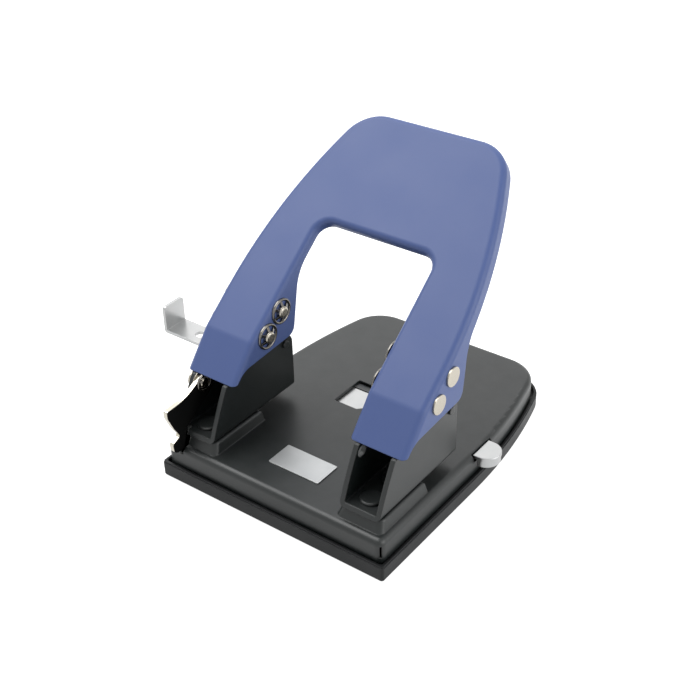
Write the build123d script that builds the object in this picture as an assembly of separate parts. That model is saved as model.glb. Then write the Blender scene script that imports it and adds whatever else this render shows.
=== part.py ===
from build123d import *
import os
from math import atan2, cos, degrees, hypot, pi, radians, sin, sqrt, tan

# A two-hole desk paper punch. A blue pressed-steel handle turns on two fulcrum pins in a pair of
# U-shaped towers. Its driver pins push two sprung punches through the paper into dies under a
# painted base plate. A chip tray closes the base from below. A zinc-plated guide slides out to the
# left to set the paper, held by a long latch whose round tab is at the right, and a steel lever in
# the left tower locks the handle down.
#
# Millimetres. X right, Y away from the user's view of the towers towards the free end of the
# handle, Z up. The origin is on the table, at the centre of the tray's footprint.

# ---- holes in the paper -------------------------------------------------------------------------
HOLE_SPACING = 80.0          # between the two hole centres
PAPER_MARGIN = 12.0          # from the paper's edge to the hole centres
PUNCH_DIAMETER = 6.0
SLOT_HEIGHT = 4.6            # height of the paper slot, which is also the height of the pads

# ---- base outline, shared by the tray and the plate ---------------------------------------------
BASE_LENGTH = 136.0
SIDE_MARGIN = 14.7           # from a hole centre to the tray's side
SIDE_STRAIGHT = 64.0         # length of the straight part of each side
SIDE_RADIUS = 247.0
FAR_CORNER_RADIUS = 18.0
TRAY_CORNER_RADIUS = 1.2     # of the two near corners
TRAY_FAR_RADIUS = 13.0
PLATE_CORNER_RADIUS = 3.0

# ---- chip tray ----------------------------------------------------------------------------------
TRAY_HEIGHT = 7.0
TRAY_FLOOR = 2.0
TRAY_RIM = 1.3               # thickness of the rim above the ledge
TRAY_LEDGE_WIDTH = 2.4       # how far the ledge that carries the plate stands in from the rim
TRAY_LEDGE_HEIGHT = 4.6
TRAY_LIP_STEP = 0.3          # small step round the outside of the rim
TRAY_LIP_HEIGHT = 0.8
TRAY_EDGE_RADIUS = 0.8
CLIP_LENGTH = 8.0
CLIP_HEIGHT = 1.0
CLIP_CLEARANCE = 0.1
CLIP_PLACES = (0.3, 0.85)     # of the clips, as shares of a side's straight part

# ---- base plate ---------------------------------------------------------------------------------
PLATE_SHEET = 1.2
PLATE_GAP = 0.6              # between the tray's rim and the plate's skirt
SKIRT_HEIGHT = 11.8
PLATE_EDGE_RADIUS = 2.5
PAD_SLOPE = 1.2              # how far a pad's foot stands out at its sides
PAD_END_SLOPE = 0.6          # at its far end
PAD_FRONT_SLOPE = 2.5        # and at its near end
PAD_EDGE_RADIUS = 1.2
PAD_CORNER_RADIUS = 2.5
PAD_FRONT = 5.2              # from the tray's front edge to the foot of the pads
PAD_LENGTH = 30.6            # from that foot to where the paper stops
PAD_MARGIN = 0.1             # how far a pad's top stands out past its tower
RELIEF_WIDTH = 0.8
RELIEF_HEIGHT = 5.2
RELIEF_TOP = 2.6             # below the plate's top

# ---- towers -------------------------------------------------------------------------------------
TOWER_WIDTH = 18.2
TOWER_SHEET = 2.0
TOWER_BEND_RADIUS = 2.5
TOWER_OVERHANG = 0.7         # from the foot of the pads back to the front of the towers
TOWER_TAIL = 9.4             # how far the tower reaches past the punch
FULCRUM_HEIGHT = 35.7        # of the fulcrum pin above the pads
FULCRUM_SETBACK = 9.7        # of the fulcrum pin in front of the punch
EAR_RADIUS = 4.9
TOWER_TOP_FRONT = 21.9       # from the fulcrum forward to the front top corner of a wall
TOWER_TOP_DROP = 13.6
TOWER_STEP_FRONT = 18.4      # from the fulcrum forward to where the edge turns up to the ear
TOWER_STEP_DROP = 13.1
TOWER_FRONT_BOW = 0.5        # how far the front edge of a wall bows out
TOWER_SHOULDER_DROP = 11.4   # from the fulcrum down to the rear shoulder of a wall
TOWER_SHOULDER_RADIUS = 5.0
RIVET_HEAD = 8.8
RIVET_HEAD_HEIGHT = 1.2
RIVET_SHANK = 4.0
RIVET_TAIL = 7.0
RIVET_TAIL_HEIGHT = 1.0
RIVET_FRONT = 8.6            # from the foot of a pad to its front rivet
RIVET_PITCH = 14.0

# ---- handle -------------------------------------------------------------------------------------
HANDLE_SHEET = 1.2
HANDLE_SLOPE = 38.4          # degrees, of the flat panel at rest
HANDLE_LIFT = 6.5            # from the fulcrum square to the panel's outer face
HANDLE_EDGE_RADIUS = 2.6
LEG_GAP = 2.3                # between a wall of a tower and the flange beside it
LEG_FRONT_SLOPE = 50.3       # degrees, of the short front part of each leg
LEG_KNEE = 6.2               # from the fulcrum down the panel to the bend
LEG_KNEE_RADIUS = 8.0
PANEL_LENGTH = 101.5         # from the fulcrum up the panel to its top edge
PANEL_STRAIGHT = 10.6        # from the fulcrum up to where the sides start to curve
PANEL_SIDE_RADIUS = 220.0
PANEL_CORNER_RADIUS = 17.0
RIM_DEPTH = 7.0              # round the outside of the handle
OPENING_RIM_DEPTH = 4.2
OPENING_END = 50.9           # from the fulcrum up the panel to the end of the opening
OPENING_CORNER_RADIUS = 6.5
FLANGE_FRONT = 28.1          # from the fulcrum forward to the front end of a flange
FLANGE_FRONT_DROP = 13.6
TOE_FRONT = 18.9             # from the fulcrum forward to the lowest bend of a flange
TOE_DROP = 13.1
TOE_RADIUS = 1.5
INSTEP_FRONT = 14.6          # from the fulcrum forward to where the ear's lower edge starts
INSTEP_DROP = 8.6
INSTEP_RADIUS = 8.0
EAR_BACK = 16.3              # from the fulcrum back to the rear corner of a flange
EAR_BACK_DROP = 6.6
EAR_CORNER_RADIUS = 4.0
EAR_BLEND_RADIUS = 18.0
EAR_BLEND_END = 28.4         # from the fulcrum up the panel to where an ear runs into the rim

# ---- pins ---------------------------------------------------------------------------------------
PIN_DIAMETER = 5.0
PIN_HEAD = 8.0
PIN_HEAD_HEIGHT = 0.9
PIN_TAIL = 2.2               # how far a pin's inner end stands out of the flange
DRIVER_BACK = 8.9            # from the fulcrum back to the driver pin
DRIVER_RISE = 7.2
RUNNING_CLEARANCE = 0.05     # radial, of each pin or punch in what it turns or slides in
SEAT_CLEARANCE = 0.02        # radial, of each pin in what it is fixed to
STARLOCK_DIAMETER = 11.0
STARLOCK_SHEET = 0.5
STARLOCK_DISH = 0.9
STARLOCK_RIM = 1.1           # width of the rolled rim
STARLOCK_RIM_HEIGHT = 0.9
STARLOCK_TEETH = 6
STARLOCK_TOOTH = 1.1         # width of a tooth
SPACER_DIAMETER = 7.6

# ---- punches, springs and dies ------------------------------------------------------------------
PUNCH_GAP = 0.06             # between a driver pin and the punch's head at rest
PUNCH_HEAD = 10.0
PUNCH_HEAD_HEIGHT = 2.0
PUNCH_TIP_ABOVE_SLOT = 0.3
PUNCH_TIP_NOTCH = 1.2
BRIDGE_HEIGHT = 4.4          # of the block that guides the punch in its tower
BRIDGE_DROP = 12.5           # from the fulcrum down to the middle of the block
BRIDGE_FRONT = 5.0           # of the block in front of the punch
BRIDGE_BACK = 7.8
LUG_DIAMETER = 3.4
LUG_PROUD = 1.0              # how far a lug stands out of the tower's wall
LUG_BACK = 4.6               # from the punch back to the lugs
SPRING_DIAMETER = 9.0
SPRING_WIRE = 1.0
SPRING_TURNS = 4.5
SPRING_SEAT_GAP = 0.05
DIE_DIAMETER = 13.0
DIE_HEIGHT = 3.0
DIE_RELIEF = 0.25            # radial, of the plate's hole round the punch

# ---- lock lever ---------------------------------------------------------------------------------
LEVER_SHEET = 1.9
LEVER_PIVOT_FRONT = 19.9     # from the fulcrum forward to the lever's pivot
LEVER_PIVOT_DROP = 17.3
LEVER_HOLE = 5.0             # in the left wall of each tower
LEVER_PIN_HEAD = 7.2
LEVER_PIN_HEAD_HEIGHT = 0.9
LEVER_PIN_TAIL = 0.7
LEVER_LOCK_DIAMETER = 8.2
FRICTION_WASHER = 0.3
FRICTION_WASHER_DIAMETER = 8.0
NOTCH_WIDTH = 4.6
NOTCH_DEPTH = 2.8            # below the plate's top
NOTCH_REACH = 9.2            # from the tray's front edge
NOTCH_SHIFT = 0.4            # of the notch outwards from the lever's middle

# ---- sliding guide and its latch ----------------------------------------------------------------
GUIDE_Y = 71.2               # from the tray's front edge to the middle of the bar
GUIDE_WIDTH = 12.3
GUIDE_SHEET = 1.5
GUIDE_SLACK = 0.3            # between the bar and the plate above it
GUIDE_END = 6.0              # x of the bar's inner end, as photographed
GUIDE_STOP = 114.5           # from the middle of the punch to the face of the stop
GUIDE_STOP_HEIGHT = 12.0
GUIDE_HOLE = 5.0
GUIDE_HOLE_INSET = 16.7      # from the stop's face to the hole
GUIDE_SLOTS = 7
GUIDE_SLOT_LENGTH = 2.2
GUIDE_SLOT_WIDTH = 3.0
GUIDE_SLOT_PITCH = 12.0
CHANNEL_SHEET = 1.0
CHANNEL_SIDE_GAP = 0.15
CHANNEL_SEAT_GAP = 0.1
CHANNEL_LEDGE = 1.7
CHANNEL_DEPTH = 5.3          # of the trough below the ledges
CHANNEL_FLANGE = 3.4
CHANNEL_INSET = 1.6          # from the plate's skirt to each end of the channel
CHANNEL_RIGHT = 5.8
LATCH_SHEET = 1.0
LATCH_PIN = 1.6
LATCH_KNUCKLE = 3.4
LATCH_DROP = 1.4             # from the bar's underside to the latch
LATCH_TOOTH_GAP = 0.3
LATCH_TOOTH_LENGTH = 2.0
LATCH_TOOTH_X = -34.0
LATCH_SIDE_GAP = 0.4
TAB_SHEET = 1.5
TAB_WIDTH = 12.0
TAB_REACH = 8.8              # from the tab's straight edge to its round end
TAB_OVERHANG = 5.8           # of the round end past the tray
TAB_OFFSET = 0.8             # of the tab's middle behind the bar's middle
TAB_TOP_DROP = 1.0           # below the plate's top
TAB_EDGE_RADIUS = 0.3
TAB_LIP_INSET = 2.2
TAB_SLOT_CLEARANCE = 1.15
TAB_SLOT_EDGE_GAP = 0.4      # between the tab's straight edge and the plate
TAB_SLOT_BELOW = 2.65        # from the tab's top to the shallow part's floor
LATCH_TRAVEL = 1.4           # room under the latch's arm
TAB_SLOT_STEP = 3.0
LATCH_SPRING_SHEET = 0.3
LATCH_SPRING_WIDTH = 4.0
LATCH_SPRING_LENGTH = 26.0

# ---- plate details ------------------------------------------------------------------------------
WINDOW_LEFT = -14.8
WINDOW_RIGHT = 1.5
WINDOW_FRONT = 63.5
WINDOW_BACK = 81.3
WINDOW_CHAMFER = 5.0
WINDOW_CORNER_RADIUS = 0.6
LABEL_WIDTH = 24.5
LABEL_DEPTH = 12.6
LABEL_SHEET = 0.4
LABEL_X = 1.4                # of its middle, a little off centre as photographed
LABEL_Y = 21.7
LABEL_CORNER_RADIUS = 0.5

# ---- places that follow from the sizes ----------------------------------------------------------
FRONT_Y = -BASE_LENGTH / 2
BACK_Y = BASE_LENGTH / 2
HOLE_X = HOLE_SPACING / 2
BASE_HALF_WIDTH = HOLE_X + SIDE_MARGIN
PLATE_INSET = TRAY_RIM + PLATE_GAP
PLATE_TOP = TRAY_LEDGE_HEIGHT + SKIRT_HEIGHT
PLATE_UNDER = PLATE_TOP - PLATE_SHEET
PAD_TOP = PLATE_TOP + SLOT_HEIGHT
TOWER_FLOOR_TOP = PAD_TOP + TOWER_SHEET
TOWER_HALF = TOWER_WIDTH / 2
TOWER_INNER_HALF = TOWER_HALF - TOWER_SHEET
PAD_HALF = TOWER_HALF + PAD_MARGIN + PAD_SLOPE
PAD_Y = FRONT_Y + PAD_FRONT
PAPER_STOP_Y = PAD_Y + PAD_LENGTH
PUNCH_Y = PAPER_STOP_Y + PAPER_MARGIN
TOWER_FRONT_Y = PAD_Y + TOWER_OVERHANG
TOWER_BACK_Y = PUNCH_Y + TOWER_TAIL
FULCRUM_Y = PUNCH_Y - FULCRUM_SETBACK
FULCRUM_Z = PAD_TOP + FULCRUM_HEIGHT
DRIVER_Y = FULCRUM_Y + DRIVER_BACK
DRIVER_Z = FULCRUM_Z + DRIVER_RISE
LEG_HALF = TOWER_HALF + LEG_GAP + HANDLE_SHEET
PIVOT_Y = FULCRUM_Y - LEVER_PIVOT_FRONT
PIVOT_Z = FULCRUM_Z - LEVER_PIVOT_DROP
BRIDGE_Z = FULCRUM_Z - BRIDGE_DROP
BRIDGE_TOP = BRIDGE_Z + BRIDGE_HEIGHT / 2
PUNCH_HEAD_TOP = DRIVER_Z - PIN_DIAMETER / 2 - PUNCH_GAP
PUNCH_HEAD_UNDER = PUNCH_HEAD_TOP - PUNCH_HEAD_HEIGHT
GUIDE_TOP = PLATE_UNDER - GUIDE_SLACK
GUIDE_UNDER = GUIDE_TOP - GUIDE_SHEET
GUIDE_MID_Y = FRONT_Y + GUIDE_Y
SKIRT_X = BASE_HALF_WIDTH - PLATE_INSET
CUT = 1.0                    # how far a cutting tool runs past the face that it cuts

SLOPE_COS = cos(radians(HANDLE_SLOPE))
SLOPE_SIN = sin(radians(HANDLE_SLOPE))


def polar(centre, radius, angle):
    """Point at an angle, in degrees, on a circle."""
    return (centre[0] + radius * cos(radians(angle)), centre[1] + radius * sin(radians(angle)))


def panel(up, depth=0.0):
    """(y, z) of a point up the handle's panel from the fulcrum, at a depth below its outer face."""
    rise = HANDLE_LIFT - depth
    return (
        FULCRUM_Y - rise * SLOPE_SIN + up * SLOPE_COS,
        FULCRUM_Z + rise * SLOPE_COS + up * SLOPE_SIN,
    )


def rounded_outline(half_width, start, straight_end, side_radius, corner_radius, end, inset):
    """Flat face with straight sides, long arcs behind them and round far corners."""
    half = half_width - inset
    near, far = start + inset, end - inset
    side_centre = (half_width - side_radius, straight_end)
    corner_y = end - corner_radius
    reach = sqrt((side_radius - corner_radius) ** 2 - (corner_y - straight_end) ** 2)
    corner_centre = (side_centre[0] + reach, corner_y)
    turn = degrees(atan2(corner_y - straight_end, reach))
    side, corner = side_radius - inset, corner_radius - inset
    meet = polar(side_centre, side, turn)
    right = Curve() + [
        Line((0, near), (half, near)),
        Line((half, near), (half, straight_end)),
        ThreePointArc((half, straight_end), polar(side_centre, side, turn / 2), meet),
        ThreePointArc(meet, polar(corner_centre, corner, (turn + 90) / 2), (corner_centre[0], far)),
        Line((corner_centre[0], far), (0, far)),
    ]
    return make_face(right + mirror(right, about=Plane.YZ))


def base_outline(inset, near_radius, far_radius=FAR_CORNER_RADIUS):
    """Outline of the base, drawn in by an inset, with its near corners rounded."""
    face = rounded_outline(
        BASE_HALF_WIDTH, FRONT_Y, FRONT_Y + SIDE_STRAIGHT, SIDE_RADIUS, far_radius, BACK_Y, inset,
    )
    near = face.vertices().filter_by(lambda v: v.Y < FRONT_Y + inset + 0.01 and abs(v.X) > 1)
    return fillet(near, near_radius)


def raised(face, bottom, top):
    """Solid from a flat face in the XY plane, between two heights."""
    return extrude(Pos(0, 0, bottom) * face, amount=top - bottom)


def box(x0, x1, y0, y1, z0, z1):
    """Box between two corners."""
    return Pos((x0 + x1) / 2, (y0 + y1) / 2, (z0 + z1) / 2) * Box(x1 - x0, y1 - y0, z1 - z0)


def rod(diameter, z0, z1, x=0.0, y=0.0):
    """Upright cylinder between two heights."""
    return Pos(x, y, (z0 + z1) / 2) * Cylinder(diameter / 2, z1 - z0)


def cross_rod(diameter, x0, x1, y, z):
    """Cylinder along X."""
    return Pos((x0 + x1) / 2, y, z) * Rot(0, 90, 0) * Cylinder(diameter / 2, x1 - x0)


def side_face(curve):
    """Face in the YZ plane from a closed curve drawn with (y, z) as its two coordinates."""
    return Plane.YZ * make_face(curve)


def slab(curve, x0, x1):
    """Solid between two X values whose side view is a closed curve in (y, z)."""
    return Pos(x0, 0, 0) * extrude(side_face(curve), amount=x1 - x0)


# ---- base ---------------------------------------------------------------------------------------

def chip_tray():
    """Moulded tray with a rim, an inner ledge for the plate's skirt and four clips."""
    lip_z = TRAY_HEIGHT - TRAY_LIP_HEIGHT
    corner, far = TRAY_CORNER_RADIUS, TRAY_FAR_RADIUS
    body = raised(base_outline(0, corner, far), 0, lip_z)
    body = fillet(body.edges().group_by(Axis.Z)[0], TRAY_EDGE_RADIUS)
    body += raised(base_outline(TRAY_LIP_STEP, corner - TRAY_LIP_STEP, far), lip_z, TRAY_HEIGHT)
    body -= raised(base_outline(TRAY_RIM, corner, far), TRAY_LEDGE_HEIGHT, TRAY_HEIGHT + CUT)
    body -= raised(base_outline(TRAY_RIM + TRAY_LEDGE_WIDTH, corner), TRAY_FLOOR, TRAY_HEIGHT)
    reach = PLATE_GAP - CLIP_CLEARANCE
    inner = BASE_HALF_WIDTH - TRAY_RIM
    clip_z = (TRAY_LEDGE_HEIGHT + TRAY_HEIGHT) / 2
    for side in (-1, 1):
        for share in CLIP_PLACES:
            y = FRONT_Y + SIDE_STRAIGHT * share
            x0, x1 = sorted((side * (inner - reach), side * (inner + TRAY_RIM / 2)))
            clip = box(x0, x1, y - CLIP_LENGTH / 2, y + CLIP_LENGTH / 2,
                       clip_z - CLIP_HEIGHT / 2, clip_z + CLIP_HEIGHT / 2)
            body += clip
    return body


def pad_outline(side, half, front, back, z, shrink):
    """Rectangle with its two near corners rounded, at a height."""
    face = Pos(side * HOLE_X, (front + back) / 2) * Rectangle(2 * half, back - front)
    return Pos(0, 0, z) * fillet(face.vertices().group_by(Axis.Y)[0], PAD_CORNER_RADIUS - shrink)


def pad(side, shrink):
    """Embossed pad under a tower; a shrink of the sheet's thickness gives its hollow."""
    grow = 1 + CUT / SLOT_HEIGHT
    half = PAD_HALF - PAD_SLOPE - shrink
    front = PAD_Y + PAD_FRONT_SLOPE + shrink
    back = PAPER_STOP_Y - PAD_END_SLOPE - shrink
    top = pad_outline(side, half, front, back, PAD_TOP - shrink, shrink)
    foot = pad_outline(side, half + PAD_SLOPE * grow, front - PAD_FRONT_SLOPE * grow,
                       back + PAD_END_SLOPE * grow, PLATE_TOP - CUT - shrink, shrink)
    shape = loft([foot, top])
    if shrink == 0:
        shape = fillet(shape.edges().group_by(Axis.Z)[-1], PAD_EDGE_RADIUS)
    return shape


def base_plate():
    """Steel plate with a turned-down skirt, two pads and the cuts for guide, tab and lever."""
    corner = PLATE_CORNER_RADIUS
    outer = raised(base_outline(PLATE_INSET, corner), TRAY_LEDGE_HEIGHT, PLATE_TOP)
    outer = fillet(outer.edges().group_by(Axis.Z)[-1], PLATE_EDGE_RADIUS)
    inner = raised(base_outline(PLATE_INSET + PLATE_SHEET, corner - PLATE_SHEET),
                   TRAY_LEDGE_HEIGHT - CUT, PLATE_UNDER)
    inner = fillet(inner.edges().group_by(Axis.Z)[-1], PLATE_EDGE_RADIUS - PLATE_SHEET)
    plate = outer + pad(-1, 0) + pad(1, 0)
    plate = plate - inner - pad(-1, PLATE_SHEET) - pad(1, PLATE_SHEET)
    rivet_hole = RIVET_SHANK + 2 * SEAT_CLEARANCE

    for side in (-1, 1):
        x = side * HOLE_X
        plate -= rod(PUNCH_DIAMETER + 2 * DIE_RELIEF, PLATE_UNDER - CUT, PLATE_TOP + CUT, x, PUNCH_Y)
        for y in rivet_places():
            plate -= rod(rivet_hole, PAD_TOP - PLATE_SHEET - CUT, PAD_TOP + CUT, x, y)
        slot = Pos(side * SKIRT_X, FRONT_Y + PLATE_INSET, PLATE_TOP - RELIEF_TOP - RELIEF_HEIGHT / 2)
        plate -= slot * Rot(0, 0, side * 45) * Box(RELIEF_WIDTH, 8 * PLATE_SHEET, RELIEF_HEIGHT)

    plate -= window()
    plate -= guide_exit()
    plate -= tab_slot()
    plate -= lever_notch()
    return plate


def window():
    """Window over the guide bar, with two cut corners."""
    x0, x1 = WINDOW_LEFT, WINDOW_RIGHT
    y0, y1 = FRONT_Y + WINDOW_FRONT, FRONT_Y + WINDOW_BACK
    c = WINDOW_CHAMFER
    points = [(x0, y0), (x1 - c, y0), (x1, y0 + c), (x1, y1 - c), (x1 - c, y1), (x0, y1)]
    face = fillet(make_face(Polyline(*points, close=True)).vertices(), WINDOW_CORNER_RADIUS)
    return raised(face, PLATE_UNDER - CUT, PLATE_TOP + CUT)


def guide_exit():
    """Slot in the left skirt that the guide bar slides through."""
    half = GUIDE_WIDTH / 2 + 2 * CHANNEL_SIDE_GAP
    return box(-SKIRT_X - CUT, -SKIRT_X + 2 * PLATE_SHEET, GUIDE_MID_Y - half, GUIDE_MID_Y + half,
               GUIDE_UNDER - GUIDE_SLACK, GUIDE_TOP + GUIDE_SLACK)


def tab_x():
    """X of the tab's straight edge."""
    return BASE_HALF_WIDTH + TAB_OVERHANG - TAB_REACH


def tab_middle():
    """Y of the middle of the tab."""
    return GUIDE_MID_Y + TAB_OFFSET


def tab_slot():
    """Slot in the plate's right edge and skirt for the tab."""
    half = TAB_WIDTH / 2 + TAB_SLOT_CLEARANCE
    near, far = tab_middle() - half, tab_middle() + half
    x0 = tab_x() - TAB_SLOT_EDGE_GAP
    x1 = SKIRT_X + CUT
    shallow_z = PLATE_TOP - TAB_TOP_DROP - TAB_SLOT_BELOW
    deep_z = latch_z() - LATCH_SHEET - LATCH_TRAVEL
    shallow = box(x0, x1, near, far, shallow_z, PLATE_TOP + CUT)
    deep = box(x0, x1, near + TAB_SLOT_STEP, far, deep_z, PLATE_TOP)
    return shallow + deep


def lever_x():
    """Lower and upper X of the lock lever's plate."""
    wall = -HOLE_X - TOWER_INNER_HALF
    return wall + FRICTION_WASHER, wall + FRICTION_WASHER + LEVER_SHEET


def lever_notch():
    """Notch in the plate's front edge and left pad for the foot of the lock lever."""
    x0, x1 = lever_x()
    middle = (x0 + x1) / 2 - NOTCH_SHIFT
    return box(middle - NOTCH_WIDTH / 2, middle + NOTCH_WIDTH / 2,
               FRONT_Y, FRONT_Y + NOTCH_REACH, PLATE_TOP - NOTCH_DEPTH, PAD_TOP + CUT)


def label_plate():
    """Thin bare metal plate on the front of the base plate."""
    face = RectangleRounded(LABEL_WIDTH, LABEL_DEPTH, LABEL_CORNER_RADIUS)
    return raised(Pos(LABEL_X, FRONT_Y + LABEL_Y) * face, PLATE_TOP, PLATE_TOP + LABEL_SHEET)


def die(side):
    """Hardened ring under the plate that the punch enters."""
    x = side * HOLE_X
    ring = rod(DIE_DIAMETER, PLATE_UNDER - DIE_HEIGHT, PLATE_UNDER, x, PUNCH_Y)
    bore = PUNCH_DIAMETER + 2 * RUNNING_CLEARANCE
    return ring - rod(bore, PLATE_UNDER - DIE_HEIGHT - CUT, PLATE_UNDER + CUT, x, PUNCH_Y)


# ---- towers -------------------------------------------------------------------------------------

def rivet_places():
    """Y of the two rivets that hold each tower."""
    return [PAD_Y + RIVET_FRONT, PAD_Y + RIVET_FRONT + RIVET_PITCH]


def tangent_point(point, centre, radius, left):
    """Where a line from a point touches a circle, on the left or the right of the line to it."""
    away = (point[0] - centre[0], point[1] - centre[1])
    distance = hypot(*away)
    turn = degrees(atan2(sqrt(distance ** 2 - radius ** 2), radius))
    base = degrees(atan2(away[1], away[0]))
    return polar(centre, radius, base - turn if left else base + turn)


def wall_curve():
    """Side view of a tower's wall."""
    fulcrum = (FULCRUM_Y, FULCRUM_Z)
    foot = (TOWER_FRONT_Y, PAD_TOP)
    top = (FULCRUM_Y - TOWER_TOP_FRONT, FULCRUM_Z - TOWER_TOP_DROP)
    bow = TOWER_FRONT_BOW / hypot(top[0] - foot[0], top[1] - foot[1])
    bulge = ((foot[0] + top[0]) / 2 - bow * (top[1] - foot[1]),
             (foot[1] + top[1]) / 2 + bow * (top[0] - foot[0]))
    step = (FULCRUM_Y - TOWER_STEP_FRONT, FULCRUM_Z - TOWER_STEP_DROP)
    shoulder = (TOWER_BACK_Y, FULCRUM_Z - TOWER_SHOULDER_DROP)
    rise = tangent_point(step, fulcrum, EAR_RADIUS, True)
    fall = tangent_point(shoulder, fulcrum, EAR_RADIUS, False)
    crown = polar(fulcrum, EAR_RADIUS,
                  degrees(atan2((rise[1] + fall[1]) / 2 - fulcrum[1],
                                (rise[0] + fall[0]) / 2 - fulcrum[0])))
    back = FilletPolyline(fall, shoulder, (TOWER_BACK_Y, PAD_TOP), radius=TOWER_SHOULDER_RADIUS)
    return Curve() + [
        ThreePointArc(foot, bulge, top),
        Line(top, step),
        Line(step, rise),
        ThreePointArc(rise, crown, fall),
        back,
        Line((TOWER_BACK_Y, PAD_TOP), foot),
    ]


def tower(side):
    """U bracket with a floor on its pad and two walls that hold the fulcrum pin."""
    high = FULCRUM_Z + 2 * EAR_RADIUS
    height = high - PAD_TOP
    x = side * HOLE_X
    outer = Pos(x, PAD_TOP + height / 2) * Rectangle(TOWER_WIDTH, height)
    outer = fillet(outer.vertices().group_by(Axis.Y)[0], TOWER_BEND_RADIUS)
    inner = Pos(x, TOWER_FLOOR_TOP + height / 2) * Rectangle(2 * TOWER_INNER_HALF, height)
    inner = fillet(inner.vertices().group_by(Axis.Y)[0], TOWER_BEND_RADIUS - TOWER_SHEET)
    section = Pos(0, TOWER_BACK_Y + CUT, 0) * (Plane.XZ * (outer - inner))
    channel = extrude(section, amount=TOWER_BACK_Y - TOWER_FRONT_Y + 2 * CUT)
    bracket = channel & slab(wall_curve(), x - TOWER_HALF - CUT, x + TOWER_HALF + CUT)

    through = (x - TOWER_HALF - CUT, x + TOWER_HALF + CUT)
    bracket -= cross_rod(PIN_DIAMETER + 2 * RUNNING_CLEARANCE, *through, FULCRUM_Y, FULCRUM_Z)
    bracket -= cross_rod(LUG_DIAMETER + 2 * SEAT_CLEARANCE, *through, PUNCH_Y + LUG_BACK, BRIDGE_Z)
    bracket -= cross_rod(LEVER_HOLE, x - TOWER_HALF - CUT, x, PIVOT_Y, PIVOT_Z)
    bracket -= rod(PUNCH_DIAMETER + 4 * RUNNING_CLEARANCE, PAD_TOP - CUT, TOWER_FLOOR_TOP + CUT,
                   x, PUNCH_Y)
    rivet_hole = RIVET_SHANK + 2 * SEAT_CLEARANCE
    for y in rivet_places():
        bracket -= rod(rivet_hole, PAD_TOP - CUT, TOWER_FLOOR_TOP + CUT, x, y)
    if side < 0:
        x0, x1 = lever_x()
        bracket -= box(x0 - FRICTION_WASHER, x1 + FRICTION_WASHER, TOWER_FRONT_Y - CUT,
                       FRONT_Y + NOTCH_REACH, PAD_TOP - CUT, TOWER_FLOOR_TOP + CUT)
    return bracket


def tower_rivets():
    """Flat-headed rivets through the floor of each tower and its pad."""
    rivets = []
    pad_under = PAD_TOP - PLATE_SHEET
    for side in (-1, 1):
        for y in rivet_places():
            x = side * HOLE_X
            head = rod(RIVET_HEAD, TOWER_FLOOR_TOP, TOWER_FLOOR_TOP + RIVET_HEAD_HEIGHT, x, y)
            head = chamfer(head.edges().group_by(Axis.Z)[-1], RIVET_HEAD_HEIGHT / 3)
            shank = rod(RIVET_SHANK, pad_under, TOWER_FLOOR_TOP, x, y)
            tail = rod(RIVET_TAIL, pad_under - RIVET_TAIL_HEIGHT, pad_under, x, y)
            rivets.append(head + shank + tail)
    return Compound(children=rivets)


def punch_bridge(side):
    """Block between a tower's walls that guides the punch; its round lugs sit in the walls."""
    x = side * HOLE_X
    block = box(x - TOWER_INNER_HALF, x + TOWER_INNER_HALF, PUNCH_Y - BRIDGE_FRONT,
                PUNCH_Y + BRIDGE_BACK, BRIDGE_Z - BRIDGE_HEIGHT / 2, BRIDGE_TOP)
    reach = TOWER_HALF + LUG_PROUD
    block += cross_rod(LUG_DIAMETER, x - reach, x + reach, PUNCH_Y + LUG_BACK, BRIDGE_Z)
    bore = PUNCH_DIAMETER + 2 * RUNNING_CLEARANCE
    return block - rod(bore, BRIDGE_Z - BRIDGE_HEIGHT, BRIDGE_Z + BRIDGE_HEIGHT, x, PUNCH_Y)


# ---- punches ------------------------------------------------------------------------------------

def punch(side):
    """Steel punch with a flat head and a notched cutting tip."""
    x = side * HOLE_X
    tip = PAD_TOP + PUNCH_TIP_ABOVE_SLOT
    body = rod(PUNCH_DIAMETER, tip, PUNCH_HEAD_UNDER, x, PUNCH_Y)
    head = rod(PUNCH_HEAD, PUNCH_HEAD_UNDER, PUNCH_HEAD_TOP, x, PUNCH_Y)
    head = chamfer(head.edges().group_by(Axis.Z)[-1], PUNCH_HEAD_HEIGHT / 5)
    half = PUNCH_DIAMETER / 2 + CUT
    notch = PUNCH_TIP_NOTCH * half / (PUNCH_DIAMETER / 2)
    wedge = Polyline((PUNCH_Y - half, tip - CUT), (PUNCH_Y - half, tip - notch + PUNCH_TIP_NOTCH),
                     (PUNCH_Y, tip + PUNCH_TIP_NOTCH),
                     (PUNCH_Y + half, tip - notch + PUNCH_TIP_NOTCH), (PUNCH_Y + half, tip - CUT),
                     close=True)
    return body + head - slab(wedge, x - half, x + half)


def helix_point(centre, radius, pitch, turn):
    """Point of a helix after some turns, with its direction of travel."""
    angle = 2 * pi * turn
    point = Vector(centre[0] + radius * cos(angle), centre[1] + radius * sin(angle),
                   centre[2] + pitch * turn)
    travel = Vector(-2 * pi * radius * sin(angle), 2 * pi * radius * cos(angle), pitch)
    return point, travel.normalized()


def arc_towards(start, control, end):
    """Arc from start to end whose end tangents meet at a control point."""
    middle = (start + end) / 2
    half_chord = (end - start).length / 2
    height = (control - middle).length
    angle = atan2(height, half_chord)
    return ThreePointArc(start, middle + (control - middle) * (tan(angle / 2) / tan(angle)), end)


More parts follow.
